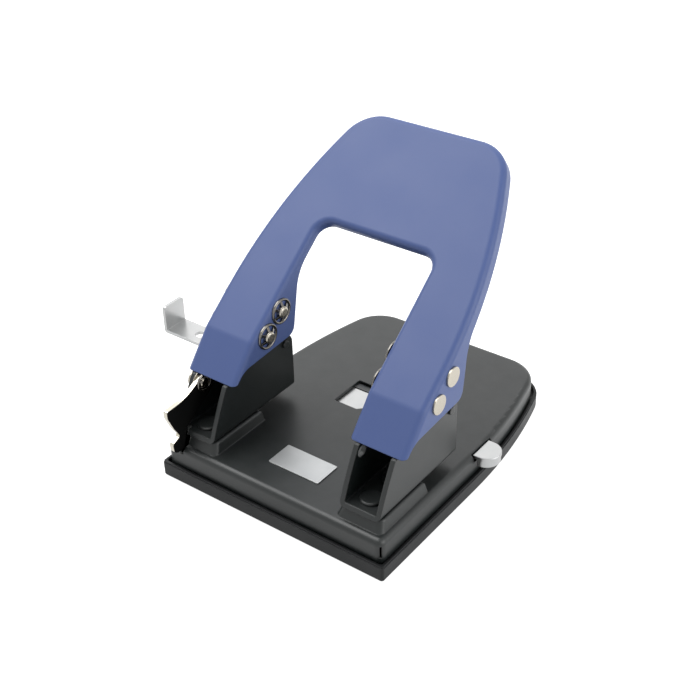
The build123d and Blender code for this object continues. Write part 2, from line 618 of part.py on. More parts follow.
def coil_path(centre, radius, pitch, turns):
    """Helix as biarcs of a quarter turn, each tangent to the next."""
    arcs = []
    steps = round(turns * 4)
    for step in range(steps):
        start, leave = helix_point(centre, radius, pitch, step / 4)
        end, arrive = helix_point(centre, radius, pitch, (step + 1) / 4)
        span = end - start
        a = 2 * (leave.dot(arrive) - 1)
        b = -2 * span.dot(leave + arrive)
        reach = (-b - sqrt(b * b - 4 * a * span.dot(span))) / (2 * a)
        first = start + leave * reach
        second = end - arrive * reach
        middle = (first + second) / 2
        arcs += [arc_towards(start, first, middle), arc_towards(middle, second, end)]
    return Wire(arcs)


def spring_gap(path, pitch_length):
    """Least gap of a coil to itself, measured between points more than half a turn apart."""
    count = 240
    points = [path @ (i / count) for i in range(count + 1)]
    apart = round(count * pitch_length / path.length / 2)
    pairs = [(p - q).length for i, p in enumerate(points) for q in points[i + apart:]]
    return min(pairs) - SPRING_WIRE


def punch_spring(side):
    """Return spring between the guide block and the punch's head."""
    x = side * HOLE_X
    bottom = BRIDGE_TOP + SPRING_WIRE / 2 + SPRING_SEAT_GAP
    top = PUNCH_HEAD_UNDER - SPRING_WIRE / 2 - SPRING_SEAT_GAP
    radius = (SPRING_DIAMETER - SPRING_WIRE) / 2
    pitch = (top - bottom) / SPRING_TURNS
    path = coil_path((x, PUNCH_Y, bottom), radius, pitch, SPRING_TURNS)
    start, travel = helix_point((x, PUNCH_Y, bottom), radius, pitch, 0)
    section = Plane(origin=start, z_dir=travel) * Circle(SPRING_WIRE / 2)
    print("punch spring: least gap between its turns",
          round(spring_gap(path, 2 * pi * radius), 2), "mm")
    return sweep(section, path=path)


# ---- handle -------------------------------------------------------------------------------------

def handle_profile(depth):
    """Open side view of the handle's outer face, at a depth below it: front part, knee, panel."""
    turn = LEG_FRONT_SLOPE - HANDLE_SLOPE
    knee_y, knee_z = panel(-LEG_KNEE)
    inward = radians((LEG_FRONT_SLOPE + HANDLE_SLOPE) / 2 - 90)
    shift = depth / cos(radians(turn / 2))
    knee = (knee_y + shift * cos(inward), knee_z + shift * sin(inward))
    low = polar(knee, 2 * FLANGE_FRONT, LEG_FRONT_SLOPE + 180)
    high = polar(knee, 1.5 * PANEL_LENGTH, HANDLE_SLOPE)
    return FilletPolyline(low, knee, high, radius=LEG_KNEE_RADIUS - depth)


def handle_block(depth):
    """Solid under the handle's face: the face's outline, rounded over at its edges."""
    profile = handle_profile(depth)
    low, high = profile @ 0, profile @ 1
    drop = 0.6 * PANEL_LENGTH
    under = Polyline((high.X, high.Y), (high.X + drop * SLOPE_SIN, high.Y - drop * SLOPE_COS),
                     (low.X + 2 * drop, low.Y - drop), (low.X, low.Y))
    half = HOLE_X + LEG_HALF + CUT
    body = slab(Curve() + [profile, under], -half, half)

    origin = panel(0)
    plane = Plane(origin=(0, origin[0], origin[1]), x_dir=(1, 0, 0), z_dir=(0, -SLOPE_SIN, SLOPE_COS))
    low_end = -2 * FLANGE_FRONT
    outline = rounded_outline(HOLE_X + LEG_HALF, low_end, PANEL_STRAIGHT, PANEL_SIDE_RADIUS,
                              PANEL_CORNER_RADIUS, PANEL_LENGTH, depth)
    gap_half = HOLE_X - LEG_HALF + depth
    gap_end = OPENING_END + depth
    gap = Pos(0, (gap_end + 2 * low_end) / 2) * Rectangle(2 * gap_half, gap_end - 2 * low_end)
    gap = fillet(gap.vertices().group_by(Axis.Y)[-1], OPENING_CORNER_RADIUS + depth)
    prism = extrude(plane * (outline - gap), amount=2 * drop, both=True)
    body = body & prism

    edges = []
    skin = Plane.YZ * profile
    top_faces = [f for f in body.faces() if on_skin(f, skin)]
    counts = {}
    for face in top_faces:
        for edge in face.edges():
            key = tuple(round(v, 3) for v in edge.center())
            counts.setdefault(key, []).append(edge)
    limit = low.Y + HANDLE_LIFT
    for key, found in counts.items():
        if len(found) == 1 and key[2] > limit:
            edges.append(found[0])
    return fillet(edges, HANDLE_EDGE_RADIUS - depth)


def on_skin(face, skin):
    """Whether a face lies on the outer skin, whose side view is a curve in the YZ plane."""
    middle = face.position_at(0.5, 0.5)
    return skin.distance_to(Vertex(0, middle.Y, middle.Z)) < 0.01


def ear_line_rise(corner, meet):
    """How far the line from an ear's rear corner to the rim rises towards the panel."""
    return (meet[0] - corner[0]) * -SLOPE_SIN + (meet[1] - corner[1]) * SLOPE_COS


def handle_side(rim_depth):
    """Closed side view that keeps the panel, a rim and the ears, and cuts the rest away."""
    start = (FULCRUM_Y - FLANGE_FRONT, FULCRUM_Z - FLANGE_FRONT_DROP)
    toe = (FULCRUM_Y - TOE_FRONT, FULCRUM_Z - TOE_DROP)
    instep = (FULCRUM_Y - INSTEP_FRONT, FULCRUM_Z - INSTEP_DROP)
    corner = (FULCRUM_Y + EAR_BACK, FULCRUM_Z - EAR_BACK_DROP)
    meet = panel(EAR_BLEND_END, OPENING_RIM_DEPTH)
    back = (rim_depth - OPENING_RIM_DEPTH) / ear_line_rise(corner, meet)
    blend = (meet[0] + back * (corner[0] - meet[0]), meet[1] + back * (corner[1] - meet[1]))
    far = panel(1.3 * PANEL_LENGTH, rim_depth)
    above = panel(1.3 * PANEL_LENGTH, -3 * RIM_DEPTH)
    lower = FilletPolyline(
        start, toe, instep, corner, blend, far,
        radius=[TOE_RADIUS, INSTEP_RADIUS, EAR_CORNER_RADIUS, EAR_BLEND_RADIUS])
    return Curve() + [lower, Polyline(far, above, (start[0], above[1]), start)]


def handle():
    """Pressed handle: a panel with two legs, rolled edges, a rim and ears for the pins."""
    half = HOLE_X + LEG_HALF + CUT
    shell = handle_block(0) - handle_block(HANDLE_SHEET)
    shell = shell & slab(handle_side(RIM_DEPTH), -half, half)
    past_opening = panel(OPENING_END + 3 * OPENING_CORNER_RADIUS)[0]
    middle = box(-HOLE_X, HOLE_X, 2 * FRONT_Y, past_opening, 0, 3 * FULCRUM_Z)
    shell -= middle - slab(handle_side(OPENING_RIM_DEPTH), -half, half)
    hole = PIN_DIAMETER + 2 * SEAT_CLEARANCE
    for y, z in ((FULCRUM_Y, FULCRUM_Z), (DRIVER_Y, DRIVER_Z)):
        shell -= cross_rod(hole, -half, half, y, z)
    return shell


def pin(side, y, z):
    """Headed pin across a leg of the handle: head outside, plain domed end inside."""
    outer = HOLE_X + LEG_HALF
    inner = HOLE_X - LEG_HALF - PIN_TAIL
    shank = cross_rod(PIN_DIAMETER, inner, outer, y, z)
    shank = fillet(shank.edges().group_by(Axis.X)[0], PIN_DIAMETER / 5)
    head = cross_rod(PIN_HEAD, outer, outer + PIN_HEAD_HEIGHT, y, z)
    head = fillet(head.edges().group_by(Axis.X)[-1], PIN_HEAD_HEIGHT / 4)
    whole = shank + head
    return whole if side > 0 else mirror(whole, about=Plane.YZ)


def starlock(bore, diameter, face_x, y, z, direction):
    """Dished spring washer with teeth that grip a pin, on a face and domed along X."""
    outer = diameter / 2
    rim = outer - STARLOCK_RIM
    hole = bore / 2 + SEAT_CLEARANCE
    sheet = STARLOCK_SHEET
    profile = Curve() + [
        Polyline((rim, sheet), (hole, STARLOCK_DISH + sheet), (hole, STARLOCK_DISH), (rim, 0),
                 (outer, 0), (outer, sheet / 2)),
        ThreePointArc((outer, sheet / 2), ((rim + outer) / 2, STARLOCK_RIM_HEIGHT), (rim, sheet)),
    ]
    ring = revolve(Plane.XZ * make_face(profile), axis=Axis.Z)
    gaps = Cylinder(rim, 6 * STARLOCK_DISH)
    for tooth in range(STARLOCK_TEETH):
        turn = Rot(0, 0, 360 * tooth / STARLOCK_TEETH)
        gaps -= turn * Pos(rim / 2, 0, 0) * Box(rim, STARLOCK_TOOTH, 6 * STARLOCK_DISH)
    return Pos(face_x, y, z) * Rot(0, 90 * direction, 0) * (ring - gaps)


def starlocks(y, z):
    """The two toothed washers on the inner ends of a pair of pins."""
    face = HOLE_X - LEG_HALF
    return Compound(children=[
        starlock(PIN_DIAMETER, STARLOCK_DIAMETER, side * face, y, z, -side) for side in (-1, 1)])


def spacer_washers():
    """Washers on the fulcrum pins between the towers and the handle's flanges."""
    washers = []
    outer = LEG_HALF - HANDLE_SHEET
    inner = TOWER_HALF + 2 * RUNNING_CLEARANCE
    for side in (-1, 1):
        for hand in (-1, 1):
            x0, x1 = sorted(side * HOLE_X + hand * offset for offset in (inner, outer))
            ring = cross_rod(SPACER_DIAMETER, x0, x1, FULCRUM_Y, FULCRUM_Z)
            bore = PIN_DIAMETER + 2 * SEAT_CLEARANCE
            washers.append(ring - cross_rod(bore, x0 - CUT, x1 + CUT, FULCRUM_Y, FULCRUM_Z))
    return Compound(children=washers)


# ---- lock lever ---------------------------------------------------------------------------------

LEVER_OUTLINE = [            # (forward-back, up) from the pivot, and the radius of the corner
    (-21.6, -2.6, 0.8),      # tip of the finger rest
    (-11.2, -2.2, 25.0),
    (-1.6, 2.4, 6.0),
    (2.4, 4.0, 1.0),
    (8.8, 11.2, 2.0),        # end of the arm that props the handle
    (13.0, 9.2, 2.0),
    (8.3, 2.1, 4.0),
    (3.8, -5.4, 4.0),
    (-6.2, -11.9, 5.0),
    (-11.8, -15.4, 1.0),
    (-13.0, -19.4, 2.0),
    (-14.4, -24.4, 1.6),     # foot in the notch of the base plate
    (-19.8, -23.8, 2.4),
    (-20.4, -19.0, 1.5),
    (-15.9, -17.1, 1.0),     # neck
    (-18.8, -12.2, 8.0),
    (-21.5, -5.8, 3.0),
]


def lock_lever():
    """Steel plate lever with a finger rest, a foot in the base and an arm inside the leg."""
    points = [(PIVOT_Y + y, PIVOT_Z + z) for y, z, _ in LEVER_OUTLINE]
    radii = [radius for _, _, radius in LEVER_OUTLINE]
    x0, x1 = lever_x()
    blade = slab(FilletPolyline(*points, radius=radii, close=True), x0, x1)
    hole = LEVER_HOLE - 2 * RUNNING_CLEARANCE
    return blade - cross_rod(hole, x0 - CUT, x1 + CUT, PIVOT_Y, PIVOT_Z)


def lock_pivot():
    """Pin of the lock lever, with its head outside the left tower."""
    outer = -HOLE_X - TOWER_HALF
    inner = lever_x()[1] + STARLOCK_SHEET + LEVER_PIN_TAIL
    shank_diameter = LEVER_HOLE - 4 * RUNNING_CLEARANCE
    shank = cross_rod(shank_diameter, outer, inner, PIVOT_Y, PIVOT_Z)
    shank = fillet(shank.edges().group_by(Axis.X)[-1], shank_diameter / 6)
    return shank + cross_rod(LEVER_PIN_HEAD, outer - LEVER_PIN_HEAD_HEIGHT, outer, PIVOT_Y, PIVOT_Z)


def lock_starlock():
    """Toothed washer on the end of the lock lever's pin."""
    face = lever_x()[1] + RUNNING_CLEARANCE
    return starlock(LEVER_HOLE - 4 * RUNNING_CLEARANCE, LEVER_LOCK_DIAMETER, face, PIVOT_Y, PIVOT_Z, 1)


def lock_washer():
    """Friction washer between the lock lever and the tower's wall."""
    wall = -HOLE_X - TOWER_INNER_HALF
    x1 = wall + FRICTION_WASHER - RUNNING_CLEARANCE
    ring = cross_rod(FRICTION_WASHER_DIAMETER, wall, x1, PIVOT_Y, PIVOT_Z)
    return ring - cross_rod(LEVER_HOLE, wall - CUT, x1 + CUT, PIVOT_Y, PIVOT_Z)


# ---- guide and latch ----------------------------------------------------------------------------

def guide_bar():
    """Zinc-plated bar with an upright stop at its left end and a row of latch slots."""
    half = GUIDE_WIDTH / 2
    left = -GUIDE_STOP
    bar = box(left, GUIDE_END, GUIDE_MID_Y - half, GUIDE_MID_Y + half, GUIDE_UNDER, GUIDE_TOP)
    stop = box(left, left + GUIDE_SHEET, GUIDE_MID_Y - half, GUIDE_MID_Y + half,
               GUIDE_UNDER, GUIDE_TOP + GUIDE_STOP_HEIGHT)
    stop = fillet(stop.edges().filter_by(Axis.X).group_by(Axis.Z)[-1], GUIDE_SHEET)
    bar = bar + stop
    bend = bar.edges().filter_by(Axis.Y).filter_by(
        lambda e: abs(e.center().X - left) < 0.01 and abs(e.center().Z - GUIDE_UNDER) < 0.01)
    bar = fillet(bend, GUIDE_SHEET * 0.9)
    hole_x = left + GUIDE_HOLE_INSET
    bar -= rod(GUIDE_HOLE, GUIDE_UNDER - CUT, GUIDE_TOP + CUT, hole_x, GUIDE_MID_Y)
    for number in range(GUIDE_SLOTS):
        x = GUIDE_END - GUIDE_SLOT_PITCH * (number + 0.5)
        y = GUIDE_MID_Y - half + GUIDE_SLOT_WIDTH
        bar -= box(x - GUIDE_SLOT_LENGTH / 2, x + GUIDE_SLOT_LENGTH / 2, y - GUIDE_SLOT_WIDTH / 2,
                   y + GUIDE_SLOT_WIDTH / 2, GUIDE_UNDER - CUT, GUIDE_UNDER + GUIDE_SHEET * 0.6)
    return bar


def channel_ends():
    """X of the channel's two ends."""
    return -SKIRT_X + PLATE_SHEET + CHANNEL_INSET, SKIRT_X - PLATE_SHEET - CHANNEL_RIGHT


def ledge_z():
    """Height of the ledges that the bar slides on."""
    return GUIDE_UNDER - CHANNEL_SEAT_GAP


def trough_half():
    """Half the inner width of the channel's trough."""
    return GUIDE_WIDTH / 2 + CHANNEL_SIDE_GAP - CHANNEL_LEDGE


def latch_z():
    """Height of the latch's upper face."""
    return GUIDE_UNDER - LATCH_DROP


def latch_axis():
    """(y, z) of the latch's pivot pin."""
    y = GUIDE_MID_Y + trough_half() - LATCH_SIDE_GAP - LATCH_KNUCKLE / 2
    return y, latch_z() - LATCH_KNUCKLE / 2


def guide_channel():
    """Stepped channel under the plate: ledges for the bar, and a trough for the latch."""
    t = CHANNEL_SHEET
    wall = GUIDE_WIDTH / 2 + CHANNEL_SIDE_GAP
    ledge, trough = ledge_z(), ledge_z() - CHANNEL_DEPTH
    inner = trough_half()
    half_section = [
        (0, trough - t), (inner + t, trough - t), (inner + t, ledge - t), (wall + t, ledge - t),
        (wall + t, PLATE_UNDER - t), (wall + CHANNEL_FLANGE, PLATE_UNDER - t),
        (wall + CHANNEL_FLANGE, PLATE_UNDER), (wall, PLATE_UNDER), (wall, ledge),
        (inner, ledge), (inner, trough), (0, trough),
    ]
    right = [(GUIDE_MID_Y + y, z) for y, z in half_section]
    left = [(GUIDE_MID_Y - y, z) for y, z in reversed(half_section)][1:-1]
    x0, x1 = channel_ends()
    channel = slab(Polyline(*right, *left, close=True), x0, x1)
    y, z = latch_axis()
    reach = LATCH_KNUCKLE / 2
    for end in (x0, x1 - t):
        channel += box(end, end + t, y - reach, GUIDE_MID_Y + inner, trough, ledge - t)
        channel -= cross_rod(LATCH_PIN, end - CUT, end + t + CUT, y, z)
    return channel


def latch_pin():
    """Long pin that the latch turns on, held in the channel's two ends."""
    x0, x1 = channel_ends()
    return cross_rod(LATCH_PIN, x0, x1, *latch_axis())


def tab_face(reach, inset):
    """Outline of the tab: a straight edge at the plate and a round end."""
    x0 = tab_x() + inset
    x1 = tab_x() + reach
    half = TAB_WIDTH / 2
    y = tab_middle()
    round_x = x1 - half
    return make_face(Curve() + [
        Line((x0, y - half), (round_x, y - half)),
        ThreePointArc((round_x, y - half), (x1, y), (round_x, y + half)),
        Line((round_x, y + half), (x0, y + half)),
        Line((x0, y + half), (x0, y - half)),
    ])


def guide_latch():
    """Latch plate under the bar, with its knuckle, its tooth and the round press tab."""
    x0, x1 = channel_ends()
    y, z = latch_axis()
    top = latch_z()
    bottom = top - LATCH_SHEET
    near = GUIDE_MID_Y - trough_half() + LATCH_SIDE_GAP
    start = x0 + CHANNEL_SHEET + LATCH_SIDE_GAP
    end = x1 - CHANNEL_SHEET - LATCH_SIDE_GAP
    cheek = y - LATCH_KNUCKLE / 2 - LATCH_SIDE_GAP
    plate = box(start, end, near, y, bottom, top)
    plate += cross_rod(LATCH_KNUCKLE, start, end, y, z)
    plate += box(LATCH_TOOTH_X - LATCH_TOOTH_LENGTH / 2, LATCH_TOOTH_X + LATCH_TOOTH_LENGTH / 2,
                 near, near + LATCH_TOOTH_LENGTH, bottom, GUIDE_UNDER - LATCH_TOOTH_GAP)
    arm_end = tab_x() + TAB_REACH - TAB_WIDTH / 2
    arm_near = tab_middle() - TAB_WIDTH / 2 + TAB_SLOT_STEP
    plate += box(end - LATCH_KNUCKLE, x1 + LATCH_SIDE_GAP, near, cheek, bottom, top)
    plate += box(x1 + LATCH_SIDE_GAP, arm_end, arm_near, y, bottom, top)
    tab_top = PLATE_TOP - TAB_TOP_DROP
    plate += raised(tab_face(TAB_REACH - TAB_EDGE_RADIUS, TAB_LIP_INSET), bottom, tab_top - TAB_SHEET)
    cap = raised(tab_face(TAB_REACH, 0), tab_top - TAB_SHEET, tab_top)
    plate += fillet(cap.edges().group_by(Axis.Z)[-1], TAB_EDGE_RADIUS)
    return plate - cross_rod(LATCH_PIN + 2 * RUNNING_CLEARANCE, start - CUT, end + CUT, y, z)


def latch_spring():
    """Leaf spring on the trough's floor that pushes the latch up to the bar."""
    floor = ledge_z() - CHANNEL_DEPTH
    under = latch_z() - LATCH_SHEET
    half = LATCH_SPRING_LENGTH / 2
    t = LATCH_SPRING_SHEET
    start, up, end = (-half, floor), (0, under), (half, floor)
    lower_up = (0, under - t)
    curve = Curve() + [
        ThreePointArc(start, up, end), Line(end, (half - 3 * t, floor)),
        ThreePointArc((half - 3 * t, floor), lower_up, (3 * t - half, floor)),
        Line((3 * t - half, floor), start),
    ]
    leaf = extrude(Plane.XZ * make_face(curve), amount=LATCH_SPRING_WIDTH / 2, both=True)
    near = GUIDE_MID_Y - trough_half() + LATCH_SIDE_GAP
    return Pos(0, near + LATCH_SPRING_WIDTH / 2, 0) * leaf


PARTS = {
    "chip_tray": chip_tray,
    "base_plate": base_plate,
    "label_plate": label_plate,
    "left_die": lambda: die(-1),
    "right_die": lambda: die(1),
    "left_tower": lambda: tower(-1),
    "right_tower": lambda: tower(1),
    "tower_rivets": tower_rivets,
    "left_punch_bridge": lambda: punch_bridge(-1),
    "right_punch_bridge": lambda: punch_bridge(1),
    "left_punch": lambda: punch(-1),
    "right_punch": lambda: punch(1),
    "left_punch_spring": lambda: punch_spring(-1),
    "right_punch_spring": lambda: punch_spring(1),
    "handle": handle,
    "left_fulcrum_pin": lambda: pin(-1, FULCRUM_Y, FULCRUM_Z),
    "right_fulcrum_pin": lambda: pin(1, FULCRUM_Y, FULCRUM_Z),
    "left_driver_pin": lambda: pin(-1, DRIVER_Y, DRIVER_Z),
    "right_driver_pin": lambda: pin(1, DRIVER_Y, DRIVER_Z),
    "fulcrum_starlocks": lambda: starlocks(FULCRUM_Y, FULCRUM_Z),
    "driver_starlocks": lambda: starlocks(DRIVER_Y, DRIVER_Z),
    "spacer_washers": spacer_washers,
    "lock_lever": lock_lever,
    "lock_pivot": lock_pivot,
    "lock_starlock": lock_starlock,
    "lock_washer": lock_washer,
    "guide_bar": guide_bar,
    "guide_channel": guide_channel,
    "guide_latch": guide_latch,
    "latch_pin": latch_pin,
    "latch_spring": latch_spring,
}

os.makedirs("parts", exist_ok=True)
for name, make in PARTS.items():
    export_step(make(), f"parts/{name}.step")
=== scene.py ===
"""Two-hole desk paper punch: finishes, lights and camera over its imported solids.

All lengths are metres in the shared frame: X to the right, Y towards the free end of the handle,
Z up from the desk. The punch stands on its tray with the frame's origin under its middle.
"""

import logging
import math
from dataclasses import dataclass, field
from enum import Enum
from typing import Iterable, Sequence

import bmesh
import bpy
from mathutils import Matrix, Vector


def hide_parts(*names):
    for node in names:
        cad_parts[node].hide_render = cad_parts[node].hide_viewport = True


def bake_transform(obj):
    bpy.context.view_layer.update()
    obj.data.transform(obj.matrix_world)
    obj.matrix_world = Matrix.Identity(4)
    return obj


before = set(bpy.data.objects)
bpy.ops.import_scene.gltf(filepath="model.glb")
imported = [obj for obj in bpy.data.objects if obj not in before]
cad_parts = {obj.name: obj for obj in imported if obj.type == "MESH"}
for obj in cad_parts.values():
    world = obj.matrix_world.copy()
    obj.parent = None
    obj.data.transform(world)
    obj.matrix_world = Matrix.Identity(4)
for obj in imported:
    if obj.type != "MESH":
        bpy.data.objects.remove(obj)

log = logging.getLogger("paper_punch")
Rgba = tuple[float, float, float, float]
Triple = tuple[float, float, float]


def paint(red: float, green: float, blue: float) -> Rgba:
    """Returns an opaque colour from its linear red, green and blue."""
    return (red, green, blue, 1.0)


class NodeSheet:
    """Adds, sets and links the nodes of one shader tree."""

    def __init__(self, tree: bpy.types.NodeTree) -> None:
        """Keeps the tree.

        Args:
            tree: the material's or group's node tree.
        """
        self.tree = tree

    def add(self, kind: str, **settings: object) -> bpy.types.Node:
        """Adds a node.

        Args:
            kind: the node's type name, without its ShaderNode prefix.
            **settings: properties of the node to set.

        Returns:
            The new node.
        """
        node = self.tree.nodes.new("ShaderNode" + kind)
        for name, value in settings.items():
            setattr(node, name, value)
        return node

    def feed(self, target: bpy.types.NodeSocket, source: object) -> None:
        """Links a socket, or sets its value when the source is a number, colour or vector.

        Args:
            target: the input to feed.
            source: a socket, or a plain value.
        """
        if isinstance(source, bpy.types.NodeSocket):
            self.tree.links.new(source, target)
        else:
            target.default_value = source

    def maths(self, operation: str, *values: object,
              clamp: bool = False) -> bpy.types.NodeSocket:
        """Works out one number.

        Args:
            operation: the Math node's operation.
            *values: its inputs, as sockets or numbers.
            clamp: whether to hold the result between 0 and 1.

        Returns:
            The result's socket.
        """
        node = self.add("Math", operation=operation, use_clamp=clamp)
        for socket, value in zip(node.inputs, values):
            self.feed(socket, value)
        return node.outputs[0]

    def vector(self, operation: str, *values: object) -> bpy.types.Node:
        """Works out a sum of vectors.

        Args:
            operation: the Vector Math node's operation.
            *values: its inputs, as sockets or triples.

        Returns:
            The node, because its result's socket goes by the operation.
        """
        node = self.add("VectorMath", operation=operation)
        for socket, value in zip(node.inputs, values):
            self.feed(socket, value)
        return node

    def between(self, value: object, low: object, high: object) -> bpy.types.NodeSocket:
        """Maps a value from 0 to 1 onto a range.

        Args:
            value: the value, as a socket or number.
            low: what 0 becomes.
            high: what 1 becomes.

        Returns:
            The result's socket.
        """
        node = self.add("MapRange")
        self.feed(node.inputs["Value"], value)
        self.feed(node.inputs["To Min"], low)
        self.feed(node.inputs["To Max"], high)
        return node.outputs["Result"]

    def blend(self, share: object, first: object, second: object) -> bpy.types.NodeSocket:
        """Mixes two colours.

        Args:
            share: the second colour's share.
            first: the colour at 0.
            second: the colour at 1.

        Returns:
            The result's socket.
        """
        node = self.add("Mix", data_type="RGBA")
        self.feed(node.inputs[0], share)
        self.feed(node.inputs[6], first)
        self.feed(node.inputs[7], second)
        return node.outputs[2]

    def noise(self, place: object, scale: object, detail: float) -> bpy.types.NodeSocket:
        """Adds a noise texture.

        Args:
            place: the point to read it at.
            scale: how fine it is.
            detail: how many finer layers it has.

        Returns:
            The socket of its factor, from 0 to 1.
        """
        node = self.add("TexNoise")
        self.feed(node.inputs["Vector"], place)
        self.feed(node.inputs["Scale"], scale)
        node.inputs["Detail"].default_value = detail
        return node.outputs["Fac"]

    def object_place(self) -> bpy.types.NodeSocket:
        """Returns the surface point in the piece's own coordinates."""
        return self.add("TexCoord").outputs["Object"]

    def object_normal(self) -> bpy.types.NodeSocket:
        """Returns the surface normal in the piece's own coordinates."""
        return self.add("TexCoord").outputs["Normal"]


class SocketKind(Enum):
    """Kinds of input and output that an effect can have."""

    NUMBER = "NodeSocketFloat"
    VECTOR = "NodeSocketVector"


class Effect:
    """A surface effect that several finishes share, kept as one shader node group.

    Attributes:
        title: name of the group.
        inputs: kind and first value of each input, by name.
        outputs: kind of each output, by name.
    """

    title: str = "effect"
    inputs: dict[str, tuple[SocketKind, object]] = {}
    outputs: dict[str, SocketKind] = {}

    def lay_out(self, sheet: NodeSheet, given: bpy.types.Node, made: bpy.types.Node) -> None:
        """Builds the nodes between the group's inputs and outputs.

        Args:
            sheet: the group's nodes.
            given: the node whose outputs are the group's inputs.
            made: the node whose inputs are the group's outputs.
        """
        raise NotImplementedError

    def group(self) -> bpy.types.NodeTree:
        """Builds the node group on first use.

        Returns:
            The group, the same one each time.
        """
        known = bpy.data.node_groups.get(self.title)
        if known is not None:
            return known
        tree = bpy.data.node_groups.new(self.title, "ShaderNodeTree")
        for name, (kind, value) in self.inputs.items():
            socket = tree.interface.new_socket(name, in_out="INPUT", socket_type=kind.value)
            socket.default_value = value
        for name, kind in self.outputs.items():
            tree.interface.new_socket(name, in_out="OUTPUT", socket_type=kind.value)
        given = tree.nodes.new("NodeGroupInput")
        made = tree.nodes.new("NodeGroupOutput")
        self.lay_out(NodeSheet(tree), given, made)
        return tree

    def place(self, sheet: NodeSheet, **values: object) -> bpy.types.Node:
        """Places the effect in a material.

        Args:
            sheet: the material's nodes.
            **values: the group's inputs, with underscores for spaces in their names.

        Returns:
            The group's node, whose outputs carry the effect.
        """
        node = sheet.add("Group", node_tree=self.group())
        for name, value in values.items():
            sheet.feed(node.inputs[name.replace("_", " ")], value)
        return node


class FineGrain(Effect):
    """Fine unevenness of sprayed paint or moulded plastic, with a broader ripple under it."""

    title = "fine_grain"
    inputs = {
        "Grain Scale": (SocketKind.NUMBER, 3000.0),
        "Ripple Scale": (SocketKind.NUMBER, 420.0),
        "Ripple Share": (SocketKind.NUMBER, 0.5),
    }
    outputs = {"Height": SocketKind.NUMBER}

    def lay_out(self, sheet: NodeSheet, given: bpy.types.Node, made: bpy.types.Node) -> None:
        """Mixes a fine and a broad noise into one height.

        Args:
            sheet: the group's nodes.
            given: the node whose outputs are the group's inputs.
            made: the node whose inputs are the group's outputs.
        """
        place = sheet.object_place()
        grain = sheet.noise(place, given.outputs["Grain Scale"], detail=3.0)
        ripple = sheet.noise(place, given.outputs["Ripple Scale"], detail=1.0)
        mix = sheet.add("Mix", data_type="FLOAT")
        sheet.feed(mix.inputs[0], given.outputs["Ripple Share"])
        sheet.feed(mix.inputs[2], grain)
        sheet.feed(mix.inputs[3], ripple)
        sheet.feed(made.inputs["Height"], mix.outputs[0])


class SoftMottle(Effect):
    """Slow variation over a surface, used for roughness and for slight shifts of colour.

    Attributes:
        contrast: how much the noise is stretched.
        shift: what is added to the stretched noise.
    """

    title = "soft_mottle"
    inputs = {
        "Scale": (SocketKind.NUMBER, 60.0),
        "Low": (SocketKind.NUMBER, 0.3),
        "High": (SocketKind.NUMBER, 0.4),
    }
    outputs = {"Value": SocketKind.NUMBER}
    contrast: float = 2.2
    shift: float = -0.6

    def lay_out(self, sheet: NodeSheet, given: bpy.types.Node, made: bpy.types.Node) -> None:
        """Stretches a cloudy noise between the low and high values.

        Args:
            sheet: the group's nodes.
            given: the node whose outputs are the group's inputs.
            made: the node whose inputs are the group's outputs.
        """
        cloud = sheet.noise(sheet.object_place(), given.outputs["Scale"], detail=4.0)
        spread = sheet.maths("MULTIPLY_ADD", cloud, self.contrast, self.shift, clamp=True)
        value = sheet.between(spread, given.outputs["Low"], given.outputs["High"])
        sheet.feed(made.inputs["Value"], value)


class SoftEdge(Effect):
    """Slightly rounded sheet edges, with a broken mask along them for rubbed wear and a painted
    edge highlight.

    Attributes:
        samples: how many rays find the rounded normal.
        steepness: how fast the mask rises as the normal turns.
        contrast: how much the breaking noise is stretched.
        shift: what is added to the stretched noise.
    """

    title = "soft_edge"
    inputs = {
        "Radius": (SocketKind.NUMBER, 0.0003),
        "Rub": (SocketKind.NUMBER, 0.5),
        "Break Scale": (SocketKind.NUMBER, 900.0),
    }
    outputs = {"Normal": SocketKind.VECTOR, "Mask": SocketKind.NUMBER}
    samples: int = 6
    steepness: float = 5.0
    contrast: float = 2.6
    shift: float = -0.8

    def lay_out(self, sheet: NodeSheet, given: bpy.types.Node, made: bpy.types.Node) -> None:
        """Compares the rounded normal with the plain one to find the edges.

        Args:
            sheet: the group's nodes.
            given: the node whose outputs are the group's inputs.
            made: the node whose inputs are the group's outputs.
        """
        rounded = sheet.add("Bevel", samples=self.samples)
        sheet.feed(rounded.inputs["Radius"], given.outputs["Radius"])
        plain = sheet.add("NewGeometry").outputs["Normal"]
        same = sheet.vector("DOT_PRODUCT", rounded.outputs["Normal"], plain).outputs["Value"]
        turned = sheet.maths("MULTIPLY_ADD", same, -self.steepness, self.steepness, clamp=True)
        broken = sheet.noise(sheet.object_place(), given.outputs["Break Scale"], detail=3.0)
        broken = sheet.maths("MULTIPLY_ADD", broken, self.contrast, self.shift, clamp=True)
        mask = sheet.maths("MULTIPLY", turned, broken)
        mask = sheet.maths("MULTIPLY", mask, given.outputs["Rub"], clamp=True)
        sheet.feed(made.inputs["Normal"], rounded.outputs["Normal"])
        sheet.feed(made.inputs["Mask"], mask)


